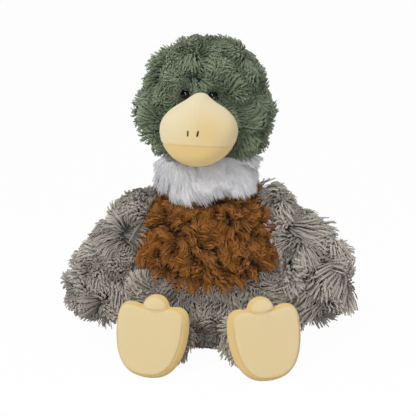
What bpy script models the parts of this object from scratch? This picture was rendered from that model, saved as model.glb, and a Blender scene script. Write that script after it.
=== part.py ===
"""A sitting plush duck: stuffed torso, ball neck, round head with a soft bill, wings, legs and webbed feet.

Metres, +Z up. The duck faces -Y and sits on the origin. Every cover is a shell as thick as its cloth and
pile, with its stuffing inside as a solid of its own. Limbs meet the torso at a seam: their roots are cut
back by the torso as it lies at both ends of their swing, so that they turn without rubbing.
"""

from math import cos, pi, radians, sin

import bmesh
import bpy
from mathutils import Matrix, Vector

# Clearances, and how near two points are one
GAP = 0.0003
MERGE_DISTANCE = 0.00001
SEAT_FLAT = 0.0005
OVERRUN = 0.030
DEEP = 0.400

# Cloth, with its pile
CURLY_WALL = 0.009
RUFF_WALL = 0.012
VELOUR_WALL = 0.0025

# Torso
TORSO_HEIGHT = 0.174
TORSO_WIDTH = 0.166
TORSO_DEPTH = 0.146
POUCH_HEIGHT = 0.044
# each row: height, width, depth and forward lean
TORSO_SHARES = (
    (0.00, 0.56, 0.58, 0.00),
    (0.05, 0.84, 0.84, 0.01),
    (0.20, 1.01, 1.00, 0.03),
    (0.42, 1.01, 1.02, 0.04),
    (0.64, 0.93, 0.92, 0.03),
    (0.84, 0.81, 0.76, 0.01),
    (0.97, 0.60, 0.56, 0.00),
    (1.00, 0.30, 0.30, 0.00),
)

# Brown chest panel
CHEST_WIDTH = 0.144
CHEST_BOTTOM = 0.070
CHEST_TOP = 0.166
# each row: half width and height of a point down the right edge
CHEST_SHARES = ((0.74, 1.10), (0.88, 0.82), (1.00, 0.42), (0.86, 0.12), (0.42, -0.02))

# Tail
TAIL_LENGTH = 0.056
TAIL_WIDTH = 0.058
TAIL_DEPTH = 0.030
TAIL_HEIGHT = 0.036
TAIL_RISE = radians(22)
TAIL_ROOT = 0.018
TAIL_WALL = 0.006
TAIL_SHARES = ((0.00, 0.86, 0.90, 0), (0.35, 1.00, 1.00, 0), (0.75, 0.86, 0.84, 0), (1.00, 0.56, 0.58, 0))

# Neck ball, which the white ruff wraps, with its middle above the torso's top
NECK_RADIUS = 0.053
NECK_RISE = 0.002
NECK_SHIFT = -0.002
RUFF_REACH = radians(52)
RUFF_BANDS = 4

# Head
HEAD_WIDTH = 0.148
HEAD_HEIGHT = 0.135
HEAD_DEPTH = 0.138
HEAD_CENTRE_RISE = 0.0735
HEAD_FORWARD = 0.008
HEAD_TURN = radians(-6.3)
HEAD_ROLL = radians(3)
HEAD_SHARES = (
    (0.00, 0.44, 0.46, 0.00),
    (0.08, 0.74, 0.76, 0.00),
    (0.27, 0.97, 0.97, 0.00),
    (0.50, 1.03, 1.02, 0.00),
    (0.74, 0.84, 0.88, 0.00),
    (0.93, 0.56, 0.60, 0.00),
    (1.00, 0.32, 0.34, 0.00),
)

# Bill, measured from the middle of the head
BILL_WIDTH = 0.0755
BILL_HEIGHT = 0.070
BILL_SHIFT = 0.0018
BILL_TOP = 0.0075
BILL_REACH = 0.112
BILL_ROOT = 0.040
BILL_TIP_DROP = 0.040
MOUTH_DROP = 0.0405
# each row: half width and height of a point up one side of the outline
BILL_SHARES = (
    (0, 0.00), (0.52, 0.07), (0.89, 0.29), (1.02, 0.56),
    (0.78, 0.77), (0.35, 0.90), (0.15, 1.00), (0, 1.01),
)
# each row: reach and size of a section, from the root to the tip
BILL_SECTION_SHARES = ((0.00, 1.00), (0.40, 0.99), (0.66, 0.93), (0.86, 0.74), (0.97, 0.46), (1.00, 0.22))

# Nostril stitches
NOSTRIL_SPACING = 0.0090
NOSTRIL_DROP = 0.0282
NOSTRIL_LENGTH = 0.0052
NOSTRIL_RADIUS = 0.0007
NOSTRIL_SLANT = radians(7)

# Safety eyes
EYE_RADIUS = 0.0046
EYE_SPACING = 0.0286
EYE_RISE = 0.0062
EYE_SPLAY = radians(13)
EYE_SINK = 0.0046
EYE_POCKET_MARGIN = 0.0016
SHANK_RADIUS = 0.0015
SHANK_LENGTH = 0.013
RIB_HEIGHT = 0.0004
RIB_COUNT = 4
WASHER_RADIUS = 0.0050
WASHER_THICKNESS = 0.0012

# Wings, from the shoulder seam, which lies below the torso's top
SHOULDER_DROP = 0.017
SHOULDER_FORWARD = 0.002
WING_LENGTH = 0.151
WING_ROOT = 0.026
WING_WIDTH = 0.072
WING_DEPTH = 0.062
WING_DROOP = radians(59)
WING_STAGGER = radians(1)
WING_FORWARD = radians(4)
WING_LIFT = radians(80)
WING_LIFT_SHARES = (0.5, 1.0)
WING_SHARES = (
    (0.00, 0.44, 0.52, 0.00),
    (0.10, 0.52, 0.60, 0.00),
    (0.34, 0.78, 0.82, 0.00),
    (0.62, 0.98, 1.00, 0.00),
    (0.83, 1.02, 1.00, 0.00),
    (0.96, 0.78, 0.76, 0.00),
    (1.00, 0.44, 0.44, 0.00),
)

# Legs, from the hip seam
HIP_SPREAD = 0.036
HIP_HEIGHT = 0.030
LEG_RADIUS = 0.0255
LEG_ROOT = 0.024
LEG_UP = radians(-25)
LEG_DOWN = radians(45)
LEG_SHARES = ((0.00, 0.90, 0.90, 0), (0.20, 1.00, 1.00, 0), (0.65, 0.98, 0.98, 0), (1.00, 0.90, 0.90, 0))

# Feet
FOOT_WIDTH = 0.0650
FOOT_LENGTH = 0.0700
FOOT_THICKNESS = 0.031
FOOT_SPREAD = 0.0525
FOOT_FORWARD = 0.145
FOOT_STAGGER = 0.005
FOOT_SPLAY = radians(13)
FOOT_LEAN = radians(-8)
FOOT_FLEX = radians(15)
ANKLE_HEIGHT = 0.029
# each row: half width and height of a point up one side of the outline
FOOT_SHARES = (
    (0, 0), (0.52, 0.04), (0.88, 0.24), (1.01, 0.54), (0.97, 0.84), (0.64, 1.03), (0.28, 0.95), (0, 0.93),
)
# each row: thickness and size of a section, from the sole to the upper
FOOT_SECTION_SHARES = (
    (0.00, 0.55), (0.02, 0.84), (0.16, 0.96), (0.50, 1.03), (0.88, 0.86), (1.00, 0.46),
)
SOLE_SEAM_SHARE = 0.16
TOE_WIDTH = 0.0250
TOE_DEPTH = 0.0250
TOE_HEIGHT = 0.0250
TOE_FORWARD_SHARE = 0.16
TOE_RISE = 0.0640
TOE_INSET = 0.0022

# Fineness of the meshes
SIDES = 12
BALL_RINGS = 16
SMALL_BALL_RINGS = 8
TINY_BALL_RINGS = 6
TURN_STEPS = 20
SMALL_TURN_STEPS = 12
DOME_STEPS = 5
CURVE_STEPS = 4

# Size of the mark that shows a joint in the viewport
JOINT_MARK = 0.013

FORWARD = Vector((0, -1, 0))
RIGHT = Vector((1, 0, 0))
UP = Vector((0, 0, 1))


def start_clean():
    """Removes every object, and makes the two collections."""
    for thing in list(bpy.data.objects):
        bpy.data.objects.remove(thing, do_unlink=True)
    made = []
    for name in ("plush_duck", "cutters"):
        collection = bpy.data.collections.new(name)
        bpy.context.scene.collection.children.link(collection)
        made.append(collection)
    return made


PARTS, CUTTERS = start_clean()


def material(name, colour, roughness, metallic=0.0):
    """A Principled material in the piece's own colour."""
    made = bpy.data.materials.new(name)
    made.use_nodes = True
    shader = made.node_tree.nodes["Principled BSDF"]
    shader.inputs["Base Color"].default_value = (*colour, 1.0)
    shader.inputs["Roughness"].default_value = roughness
    shader.inputs["Metallic"].default_value = metallic
    made.diffuse_color = (*colour, 1.0)
    return made


COLOURS = {
    "grey_plush": ((0.185, 0.165, 0.143), 0.95),
    "brown_plush": ((0.165, 0.060, 0.019), 0.95),
    "white_plush": ((0.70, 0.70, 0.69), 0.9),
    "green_plush": ((0.105, 0.140, 0.090), 0.95),
    "cream_velour": ((0.78, 0.63, 0.35), 0.8),
    "fibre_stuffing": ((0.85, 0.85, 0.83), 1.0),
    "grain_cloth": ((0.55, 0.47, 0.36), 0.9),
    "black_plastic": ((0.006, 0.006, 0.007), 0.15),
    "clear_plastic": ((0.60, 0.62, 0.62), 0.35),
    "black_thread": ((0.012, 0.011, 0.010), 0.7),
}


def add(name, mesh, matrix, kind=None, parent=None):
    """An object for the mesh: a named piece of a kind of cloth, or without a kind a cutter."""
    thing = bpy.data.objects.new(name, mesh)
    thing.matrix_world = matrix
    if kind is None:
        CUTTERS.objects.link(thing)
        thing.hide_render = True
        thing.display_type = "WIRE"
    else:
        PARTS.objects.link(thing)
        colour, roughness = COLOURS[kind]
        mesh.materials.clear()
        mesh.materials.append(material(name, colour, roughness))
    if parent is not None:
        bpy.context.view_layer.update()
        thing.parent = parent
        thing.matrix_parent_inverse = parent.matrix_world.inverted()
    return thing


def joint(name, place, parent=None):
    """An empty on a joint's axis, which the pieces of the moving body hang from."""
    empty = bpy.data.objects.new(name, None)
    empty.empty_display_size = JOINT_MARK
    empty.matrix_world = Matrix.Translation(place)
    PARTS.objects.link(empty)
    if parent is not None:
        bpy.context.view_layer.update()
        empty.parent = parent
        empty.matrix_parent_inverse = parent.matrix_world.inverted()
    return empty


def cut(thing, *cutters, operation="DIFFERENCE"):
    """Cuts the piece with all its cutters at once, or keeps what it shares with them.

    The cuts are switched on by show_cuts, once every piece is in place, which keeps the build quick."""
    group = bpy.data.collections.new(f"{operation.lower()} {thing.name}")
    CUTTERS.children.link(group)
    for cutter in cutters:
        group.objects.link(cutter)
    boolean = thing.modifiers.new(group.name, "BOOLEAN")
    boolean.operation = operation
    boolean.solver = "EXACT"
    boolean.operand_type = "COLLECTION"
    boolean.collection = group
    boolean.show_viewport = False


def show_cuts():
    """Switches every cut on."""
    for thing in PARTS.objects:
        for modifier in thing.modifiers:
            modifier.show_viewport = True


def smooth(thing, levels=1):
    """Rounds a coarse cage."""
    rounding = thing.modifiers.new("round", "SUBSURF")
    rounding.levels = levels
    rounding.render_levels = levels


def drawn_in(count):
    """The share of its radius that a ring of count points keeps when it is rounded."""
    return 2 / 3 + cos(2 * pi / count) / 3


def loft(name, rings, first, last):
    """A closed cage through rings of points, with its ends drawn to the points first and last."""
    bm = bmesh.new()
    rows = [[bm.verts.new(point) for point in ring] for ring in rings]
    count = len(rings[0])
    for low, high in zip(rows, rows[1:]):
        for i in range(count):
            j = (i + 1) % count
            bm.faces.new((low[i], low[j], high[j], high[i]))
    for row, tip in ((rows[0], bm.verts.new(first)), (rows[-1], bm.verts.new(last))):
        for i in range(count):
            bm.faces.new((row[i], row[(i + 1) % count], tip))
    bmesh.ops.recalc_face_normals(bm, faces=bm.faces)
    mesh = bpy.data.meshes.new(name)
    bm.to_mesh(mesh)
    bm.free()
    mesh.shade_smooth()
    return mesh


def swelling(name, size, shares, grow=0.0, rounded=True):
    """A stuffed form along +Z that swells and tapers; grow makes it larger, or smaller, all round.

    A form that won't be rounded, such as the inside of a cover, is the plain cage."""
    length, width, depth = size
    drawn = drawn_in(SIDES) if rounded else 1
    rings = []
    for along, wide, deep, lean in shares:
        side = (wide * width / 2 + grow) / drawn
        front = (deep * depth / 2 + grow) / drawn
        middle = Vector((0, -lean * depth, along * (length + 2 * grow) - grow))
        turns = [2 * pi * k / SIDES for k in range(SIDES)]
        rings.append([middle + Vector((side * cos(t), front * sin(t), 0)) for t in turns])
    ends = [sum(ring, Vector()) / SIDES for ring in (rings[0], rings[-1])]
    return loft(name, rings, *ends)


def ball(name, radii, rings=BALL_RINGS):
    """A sphere, or with three radii an egg."""
    bm = bmesh.new()
    bmesh.ops.create_uvsphere(bm, u_segments=3 * rings // 2, v_segments=rings, radius=1.0)
    bmesh.ops.scale(bm, vec=Vector(radii), verts=bm.verts)
    mesh = bpy.data.meshes.new(name)
    bm.to_mesh(mesh)
    bm.free()
    mesh.shade_smooth()
    return mesh


def block(name, low, high):
    """A box between two corners, for cutting."""
    bm = bmesh.new()
    bmesh.ops.create_cube(bm, size=1.0)
    low = Vector(low)
    high = Vector(high)
    bmesh.ops.scale(bm, vec=high - low, verts=bm.verts)
    bmesh.ops.translate(bm, vec=(low + high) / 2, verts=bm.verts)
    mesh = bpy.data.meshes.new(name)
    bm.to_mesh(mesh)
    bm.free()
    return mesh


def rod(name, radius, low, high):
    """A straight rod along +Z, for pins and holes."""
    bm = bmesh.new()
    bmesh.ops.create_cone(
        bm, cap_ends=True, segments=TURN_STEPS, radius1=radius, radius2=radius, depth=high - low
    )
    bmesh.ops.translate(bm, vec=UP * (low + high) / 2, verts=bm.verts)
    mesh = bpy.data.meshes.new(name)
    bm.to_mesh(mesh)
    bm.free()
    return mesh


def turned(thing, steps):
    """Turns the piece's profile about its own Z."""
    screw = thing.modifiers.new("turn", "SCREW")
    screw.angle = 2 * pi
    screw.steps = steps
    screw.render_steps = steps
    screw.use_merge_vertices = True
    screw.merge_threshold = MERGE_DISTANCE
    screw.use_smooth_shade = True


def profile(name, points):
    """An open or closed line of points in the XZ plane, to be turned."""
    mesh = bpy.data.meshes.new(name)
    closed = (Vector(points[0]) - Vector(points[-1])).length < MERGE_DISTANCE
    kept = points[:-1] if closed else points
    edges = [(i, i + 1) for i in range(len(kept) - 1)]
    if closed:
        edges.append((len(kept) - 1, 0))
    mesh.from_pydata([(x, 0, z) for x, z in kept], edges, [])
    return mesh


def arc(radius, angles):
    """Points at the given heights, as angles, down a circle in the XZ plane."""
    return [(radius * cos(angle), radius * sin(angle)) for angle in angles]


def prism(name, points, near, far):
    """A flat outline in the XZ plane, from a smooth curve, thick from y = near to y = far."""
    data = bpy.data.curves.new(name, "CURVE")
    data.dimensions = "2D"
    data.fill_mode = "BOTH"
    data.extrude = (far - near) / 2
    data.resolution_u = CURVE_STEPS
    spline = data.splines.new("BEZIER")
    spline.bezier_points.add(len(points) - 1)
    for knot, (x, z) in zip(spline.bezier_points, points):
        knot.co = (x, z, 0)
        knot.handle_left_type = "AUTO"
        knot.handle_right_type = "AUTO"
    spline.use_cyclic_u = True
    curve = bpy.data.objects.new(name, data)
    curve.matrix_world = Matrix.Translation((0, (near + far) / 2, 0)) @ Matrix.Rotation(pi / 2, 4, "X")
    CUTTERS.objects.link(curve)
    bpy.context.view_layer.update()
    mesh = bpy.data.meshes.new_from_object(curve.evaluated_get(bpy.context.evaluated_depsgraph_get()))
    bm = bmesh.new()
    bm.from_mesh(mesh)
    bmesh.ops.remove_doubles(bm, verts=bm.verts, dist=MERGE_DISTANCE)
    bmesh.ops.recalc_face_normals(bm, faces=bm.faces)
    bm.to_mesh(mesh)
    bm.free()
    matrix = curve.matrix_world.copy()
    bpy.data.objects.remove(curve)
    return add(name, mesh, matrix)


def finished(thing):
    """The piece as its modifiers leave it now."""
    bpy.context.view_layer.update()
    return thing.evaluated_get(bpy.context.evaluated_depsgraph_get())


def surface_point(thing, start, direction):
    """Where a line from start first meets the piece, in the world."""
    shape = finished(thing)
    inverse = shape.matrix_world.inverted()
    hit, point, _, _ = shape.ray_cast(inverse @ start, inverse.to_3x3() @ direction)
    if not hit:
        raise ValueError(f"no surface of {thing.name} lies that way")
    return shape.matrix_world @ point


def half_space(name, thing, pivot, outwards):
    """A deep block behind the plane that touches the piece at pivot, which holds all of a convex piece."""
    shape = finished(thing)
    inverse = shape.matrix_world.inverted()
    _, _, normal, _ = shape.ray_cast(inverse @ pivot + OVERRUN * outwards, -outwards)
    turn = normal.to_track_quat("Z", "X").to_matrix().to_4x4()
    return add(name, block(name, (-DEEP, -DEEP, -DEEP), (DEEP, DEEP, 0)), Matrix.Translation(pivot) @ turn)


def lowest(thing):
    """The height of the piece's lowest point."""
    shape = finished(thing)
    return min((shape.matrix_world @ v.co).z for v in shape.data.vertices)


def swung(name, source, pivot, axis, angle):
    """A cutter like source, turned about an axis through pivot."""
    turn = Matrix.Translation(pivot) @ Matrix.Rotation(angle, 4, axis) @ Matrix.Translation(-pivot)
    copy = add(name, source.data, turn @ source.matrix_world)
    for given in source.modifiers:
        if given.type == "SUBSURF":
            smooth(copy, given.levels)
    return copy


def neck_middle():
    """Where the neck ball's middle lies."""
    return Vector((NECK_SHIFT, 0, TORSO_HEIGHT + NECK_RISE))


def make_torso():
    """The torso's covers, its stuffing and the pouch in its seat. Returns what cuts limbs, neck and feet."""
    size = (TORSO_HEIGHT, TORSO_WIDTH, TORSO_DEPTH)
    sunk = Matrix.Translation(-SEAT_FLAT * UP)
    form = add("torso_form", swelling("torso_form", size, TORSO_SHARES, GAP), sunk)
    smooth(form)
    inner = add("torso_inside", swelling("torso_inside", size, TORSO_SHARES, GAP - CURLY_WALL, False), sunk)
    reach = TORSO_WIDTH + OVERRUN
    far = 2 * reach
    floor = add("floor_cut", block("floor_cut", (-far, -far, -OVERRUN), (far, far, 0)), Matrix())

    neck = neck_middle()
    flat_share = cos(pi / (3 * BALL_RINGS // 2)) * cos(pi / (2 * BALL_RINGS))
    socket = (NECK_RADIUS + GAP) / flat_share
    neck_cut = add("neck_cut", ball("neck_cut", [socket] * 3), Matrix.Translation(neck))

    panels = []
    for name, margin in (("chest_cut", 0.0), ("chest_window", GAP)):
        tall = CHEST_TOP - CHEST_BOTTOM
        half = CHEST_WIDTH / 2
        side = [(wide * half + margin, CHEST_BOTTOM + high * tall) for wide, high in CHEST_SHARES]
        edge = side + [(0, CHEST_BOTTOM - margin)] + [(-x, z) for x, z in reversed(side)]
        panels.append(prism(name, edge, -reach, -CURLY_WALL))
    chest_cut, chest_window = panels

    cover = add("body_cover", swelling("body_cover", size, TORSO_SHARES), sunk, "grey_plush")
    smooth(cover)
    cut(cover, inner, floor, chest_window, neck_cut)
    chest = add("chest_panel", swelling("chest_panel", size, TORSO_SHARES), sunk, "brown_plush")
    smooth(chest)
    cut(chest, chest_cut, operation="INTERSECT")
    cut(chest, inner, neck_cut)

    top = TORSO_HEIGHT + OVERRUN
    fillings = (
        ("grain_pouch", "grain_cloth", POUCH_HEIGHT, top),
        ("body_stuffing", "fibre_stuffing", -OVERRUN, POUCH_HEIGHT + GAP),
    )
    for name, kind, low, high in fillings:
        filling = add(name, swelling(name, size, TORSO_SHARES, -CURLY_WALL, False), sunk, kind)
        slab = block(name + "_cut", (-reach, -reach, low), (reach, reach, high))
        cut(filling, add(name + "_cut", slab, Matrix()))
        if kind == "fibre_stuffing":
            cut(filling, neck_cut)
    return form, neck_cut, floor


def make_limb(name, size, shares, matrix, parent, kind, cutters, wall=CURLY_WALL):
    """A stuffed limb: a cover of curly plush and its stuffing, both cut back by their larger neighbours."""
    inner = add(name + "_inside", swelling(name + "_inside", size, shares, GAP - wall, False), matrix)
    cover = add(name + "_cover", swelling(name + "_cover", size, shares), matrix, kind, parent)
    smooth(cover)
    cut(cover, *cutters, inner)
    core = swelling(name + "_stuffing", size, shares, -wall, False)
    filling = add(name + "_stuffing", core, matrix, "fibre_stuffing", parent)
    cut(filling, *cutters)
    return cover


def make_tail(torso):
    """The short tail low on the back."""
    start = Vector((0, TORSO_DEPTH, TAIL_HEIGHT))
    root = surface_point(torso, start, FORWARD)
    matrix = (
        Matrix.Translation(root)
        @ Matrix.Rotation(TAIL_RISE, 4, "X")
        @ Matrix.Rotation(-pi / 2, 4, "X")
        @ Matrix.Translation(-TAIL_ROOT * UP)
    )
    size = (TAIL_LENGTH, TAIL_WIDTH, TAIL_DEPTH)
    make_limb("tail", size, TAIL_SHARES, matrix, None, "grey_plush", [torso], TAIL_WALL)


def make_neck():
    """The neck: a stuffed ball in a band of silky white plush."""
    place = neck_middle()
    pivot = joint("neck_nod", place)
    angles = [RUFF_REACH * k / RUFF_BANDS for k in range(RUFF_BANDS, -RUFF_BANDS - 1, -1)]
    outer = arc(NECK_RADIUS, angles)
    inner = arc(NECK_RADIUS - RUFF_WALL, reversed(angles))
    ruff_shape = profile("neck_ruff", outer + inner + outer[:1])
    ruff = add("neck_ruff", ruff_shape, Matrix.Translation(place), "white_plush", pivot)
    turned(ruff, TURN_STEPS)
    shoulder = (RUFF_REACH + pi / 2) / 2
    round_angles = [pi / 2, shoulder, *angles, -shoulder, -pi / 2]
    core = profile("neck_stuffing", arc(NECK_RADIUS - RUFF_WALL - GAP, round_angles))
    turned(add("neck_stuffing", core, Matrix.Translation(place), "fibre_stuffing", pivot), TURN_STEPS)
    return pivot


def outline(shares, width, height):
    """A closed cage round the middle of an outline, from the points up its right side.

    The first and the last point are on its middle line."""
    drawn = drawn_in(2 * len(shares) - 2)
    right = [(wide * width / 2 / drawn, (high - 1 / 2) * height / drawn) for wide, high in shares]
    return right + [(-x, z) for x, z in reversed(right[1:-1])]


def bill_form(name, grow=0.0):
    """The bill from the middle of the head: a rounded diamond drawn forward and down to a blunt tip."""
    shape = outline(BILL_SHARES, BILL_WIDTH + 2 * grow, BILL_HEIGHT + 2 * grow)
    middle = BILL_TOP - BILL_HEIGHT / 2
    rings = []
    for along, share in BILL_SECTION_SHARES:
        y = -(BILL_ROOT + grow) - along * (BILL_REACH - BILL_ROOT)
        tip = Vector((BILL_SHIFT, y, -BILL_TIP_DROP))
        rings.append([tip + Vector((x, 0, z + middle + BILL_TIP_DROP)) * share for x, z in shape])
    ends = [sum(ring, Vector()) / len(ring) for ring in (rings[0], rings[-1])]
    return loft(name, rings, *ends)


def make_bill(frame, pivot, head):
    """Upper and lower bill, sewn along the mouth, with their stuffing and the two nostril stitches."""
    form = add("bill_form", bill_form("bill_form"), frame)
    smooth(form)
    inner = add("bill_inside", bill_form("bill_inside", -VELOUR_WALL), frame)
    smooth(inner)
    wide = BILL_WIDTH + OVERRUN
    far = -BILL_REACH - OVERRUN
    over = add("mouth_over", block("mouth_over", (-wide, far, -MOUTH_DROP - GAP), (wide, 0, wide)), frame)
    under = add("mouth_under", block("mouth_under", (-wide, far, -2 * wide), (wide, 0, -MOUTH_DROP)), frame)

    upper = add("bill_upper", bill_form("bill_upper"), frame, "cream_velour", pivot)
    smooth(upper)
    cut(upper, head, under, inner)
    lower = add("bill_lower", bill_form("bill_lower"), frame, "cream_velour", pivot)
    smooth(lower)
    cut(lower, head, over, inner)
    core = bill_form("bill_stuffing", -VELOUR_WALL - GAP)
    filling = add("bill_stuffing", core, frame, "fibre_stuffing", pivot)
    smooth(filling)
    cut(filling, head)

    for side, name in ((-1, "nostril_left"), (1, "nostril_right")):
        start = frame @ Vector((BILL_SHIFT + side * NOSTRIL_SPACING / 2, far, -NOSTRIL_DROP))
        spot = surface_point(form, start, frame.to_3x3() @ -FORWARD)
        slant = frame.to_3x3().to_4x4() @ Matrix.Rotation(NOSTRIL_SLANT, 4, "Y")
        place = Matrix.Translation(spot) @ slant
        radii = Vector((NOSTRIL_RADIUS, NOSTRIL_RADIUS, NOSTRIL_LENGTH / 2))
        add(name, ball(name, radii, TINY_BALL_RINGS), place, "black_thread", pivot)
        groove = ball(name + "_groove", radii + Vector([GAP] * 3), TINY_BALL_RINGS)
        cut(upper, add(name + "_groove", groove, place))
    return upper


def eye_profile():
    """A glossy dome on a ribbed shank, from the top of the dome down."""
    dome = arc(EYE_RADIUS, [pi / 2 * (1 - k / DOME_STEPS) for k in range(DOME_STEPS + 1)])
    pitch = SHANK_LENGTH / (2 * RIB_COUNT + 1)
    rib = SHANK_RADIUS + RIB_HEIGHT
    shank = []
    for k in range(RIB_COUNT):
        top = -(2 * k + 1) * pitch
        shank += [(SHANK_RADIUS, top), (rib, top - pitch / 2), (SHANK_RADIUS, top - pitch)]
    return dome + [(SHANK_RADIUS, 0)] + shank + [(SHANK_RADIUS, -SHANK_LENGTH), (0, -SHANK_LENGTH)]


def make_eyes(frame, pivot, form, inner, cover, filling, bill):
    """Two safety eyes: dome and shank through the cover, each held by a washer on the inside."""
    rib = SHANK_RADIUS + RIB_HEIGHT
    for side, tag in ((-1, "left"), (1, "right")):
        start = frame @ Vector((side * EYE_SPACING / 2, -HEAD_DEPTH, EYE_RISE))
        spot = surface_point(form, start, frame.to_3x3() @ -FORWARD)
        facing = frame.to_3x3().to_4x4() @ Matrix.Rotation(side * EYE_SPLAY, 4, "Z")
        sunk = Matrix.Rotation(pi / 2, 4, "X") @ Matrix.Translation(-EYE_SINK * UP)
        place = Matrix.Translation(spot) @ facing @ sunk
        eye = add(f"eye_{tag}", profile(f"eye_{tag}", eye_profile()), place, "black_plastic", pivot)
        turned(eye, SMALL_TURN_STEPS)

        lining = surface_point(inner, spot, place.to_3x3() @ -UP)
        washer_top = (place.inverted() @ lining).z - GAP
        washer_low = washer_top - WASHER_THICKNESS
        ring = [
            (WASHER_RADIUS, washer_top), (WASHER_RADIUS, washer_low), (rib + GAP, washer_low),
            (rib + GAP, washer_top), (WASHER_RADIUS, washer_top),
        ]
        washer = add(f"eye_washer_{tag}", profile(f"eye_washer_{tag}", ring), place, "clear_plastic", pivot)
        turned(washer, SMALL_TURN_STEPS)

        pocket_radius = EYE_RADIUS + EYE_POCKET_MARGIN
        cuts = {
            "pocket": (pocket_radius, -GAP, OVERRUN),
            "hole": (rib + GAP, -SHANK_LENGTH - GAP, OVERRUN),
            "washer_seat": (WASHER_RADIUS + GAP, washer_low - GAP, washer_top + GAP),
            "washer_room": (WASHER_RADIUS + GAP, washer_low - GAP, OVERRUN),
            "bill_room": (EYE_RADIUS + GAP, -GAP, OVERRUN),
        }
        made = {
            key: add(f"eye_{key}_{tag}", rod(f"eye_{key}_{tag}", *sizes), place)
            for key, sizes in cuts.items()
        }
        cut(cover, made["pocket"], made["hole"], made["washer_seat"])
        cut(filling, made["washer_room"], made["hole"])
        cut(bill, made["bill_room"])


def make_head(neck_cut, neck_pivot):
    """The head: green cover, stuffing, bill and eyes, turned and tilted as the toy sits."""
    neck = neck_middle()
    pivot = joint("head_turn", neck, neck_pivot)
    middle = neck + Vector((0, -HEAD_FORWARD, HEAD_CENTRE_RISE))
    turn = Matrix.Rotation(HEAD_TURN, 4, "Z") @ Matrix.Rotation(HEAD_ROLL, 4, "Y")
    frame = Matrix.Translation(middle) @ turn
    low = frame @ Matrix.Translation(-HEAD_HEIGHT / 2 * UP)
    size = (HEAD_HEIGHT, HEAD_WIDTH, HEAD_DEPTH)

    form = add("head_form", swelling("head_form", size, HEAD_SHARES, GAP), low)
    smooth(form)
    inner = add("head_inside", swelling("head_inside", size, HEAD_SHARES, GAP - CURLY_WALL, False), low)
    cover = add("head_cover", swelling("head_cover", size, HEAD_SHARES), low, "green_plush", pivot)
    smooth(cover)
    cut(cover, inner, neck_cut)
    core = swelling("head_stuffing", size, HEAD_SHARES, -CURLY_WALL, False)
    filling = add("head_stuffing", core, low, "fibre_stuffing", pivot)
    cut(filling, neck_cut)
    bill = make_bill(frame, pivot, form)
    make_eyes(frame, pivot, form, inner, cover, filling, bill)
    return pivot


def make_wing(side, tag, torso, neck_cut):
    """A wing, hinged fore and aft at its shoulder seam."""
    start = Vector((side * TORSO_WIDTH, -SHOULDER_FORWARD, TORSO_HEIGHT - SHOULDER_DROP))
    shoulder = surface_point(torso, start, -side * RIGHT) - side * GAP * RIGHT
    pivot = joint(f"wing_{tag}_lift", shoulder)
    droop = WING_DROOP - side * WING_STAGGER
    lean = Matrix.Rotation(side * (pi / 2 + droop), 4, "Y") @ Matrix.Rotation(WING_FORWARD, 4, "X")
    matrix = Matrix.Translation(shoulder) @ lean @ Matrix.Translation(-WING_ROOT * UP)
    cutters = [torso, neck_cut]
    for number, share in enumerate(WING_LIFT_SHARES):
        for source in (torso, neck_cut):
            name = f"{source.name}_wing_{tag}_{number}"
            cutters.append(swung(name, source, shoulder, "Y", side * WING_LIFT * share))
    size = (WING_LENGTH + WING_ROOT, WING_WIDTH, WING_DEPTH)
    make_limb(f"wing_{tag}", size, WING_SHARES, matrix, pivot, "grey_plush", cutters)
    return shoulder


def foot_form(name, grow=0.0):
    """A webbed foot on its heel, sole forward: a scalloped outline, swollen from the sole to the upper."""
    shape = outline(FOOT_SHARES, FOOT_WIDTH, FOOT_LENGTH)
    widen = 1 + 2 * grow / FOOT_WIDTH
    rings = []
    for along, share in FOOT_SECTION_SHARES:
        y = -FOOT_THICKNESS / 2 - grow + along * (FOOT_THICKNESS + 2 * grow)
        size = share * widen
        rings.append([Vector((x * size, y, FOOT_LENGTH / 2 + z * size)) for x, z in shape])
    ends = [sum(ring, Vector()) / len(ring) for ring in (rings[0], rings[-1])]
    return loft(name, rings, *ends)


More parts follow.
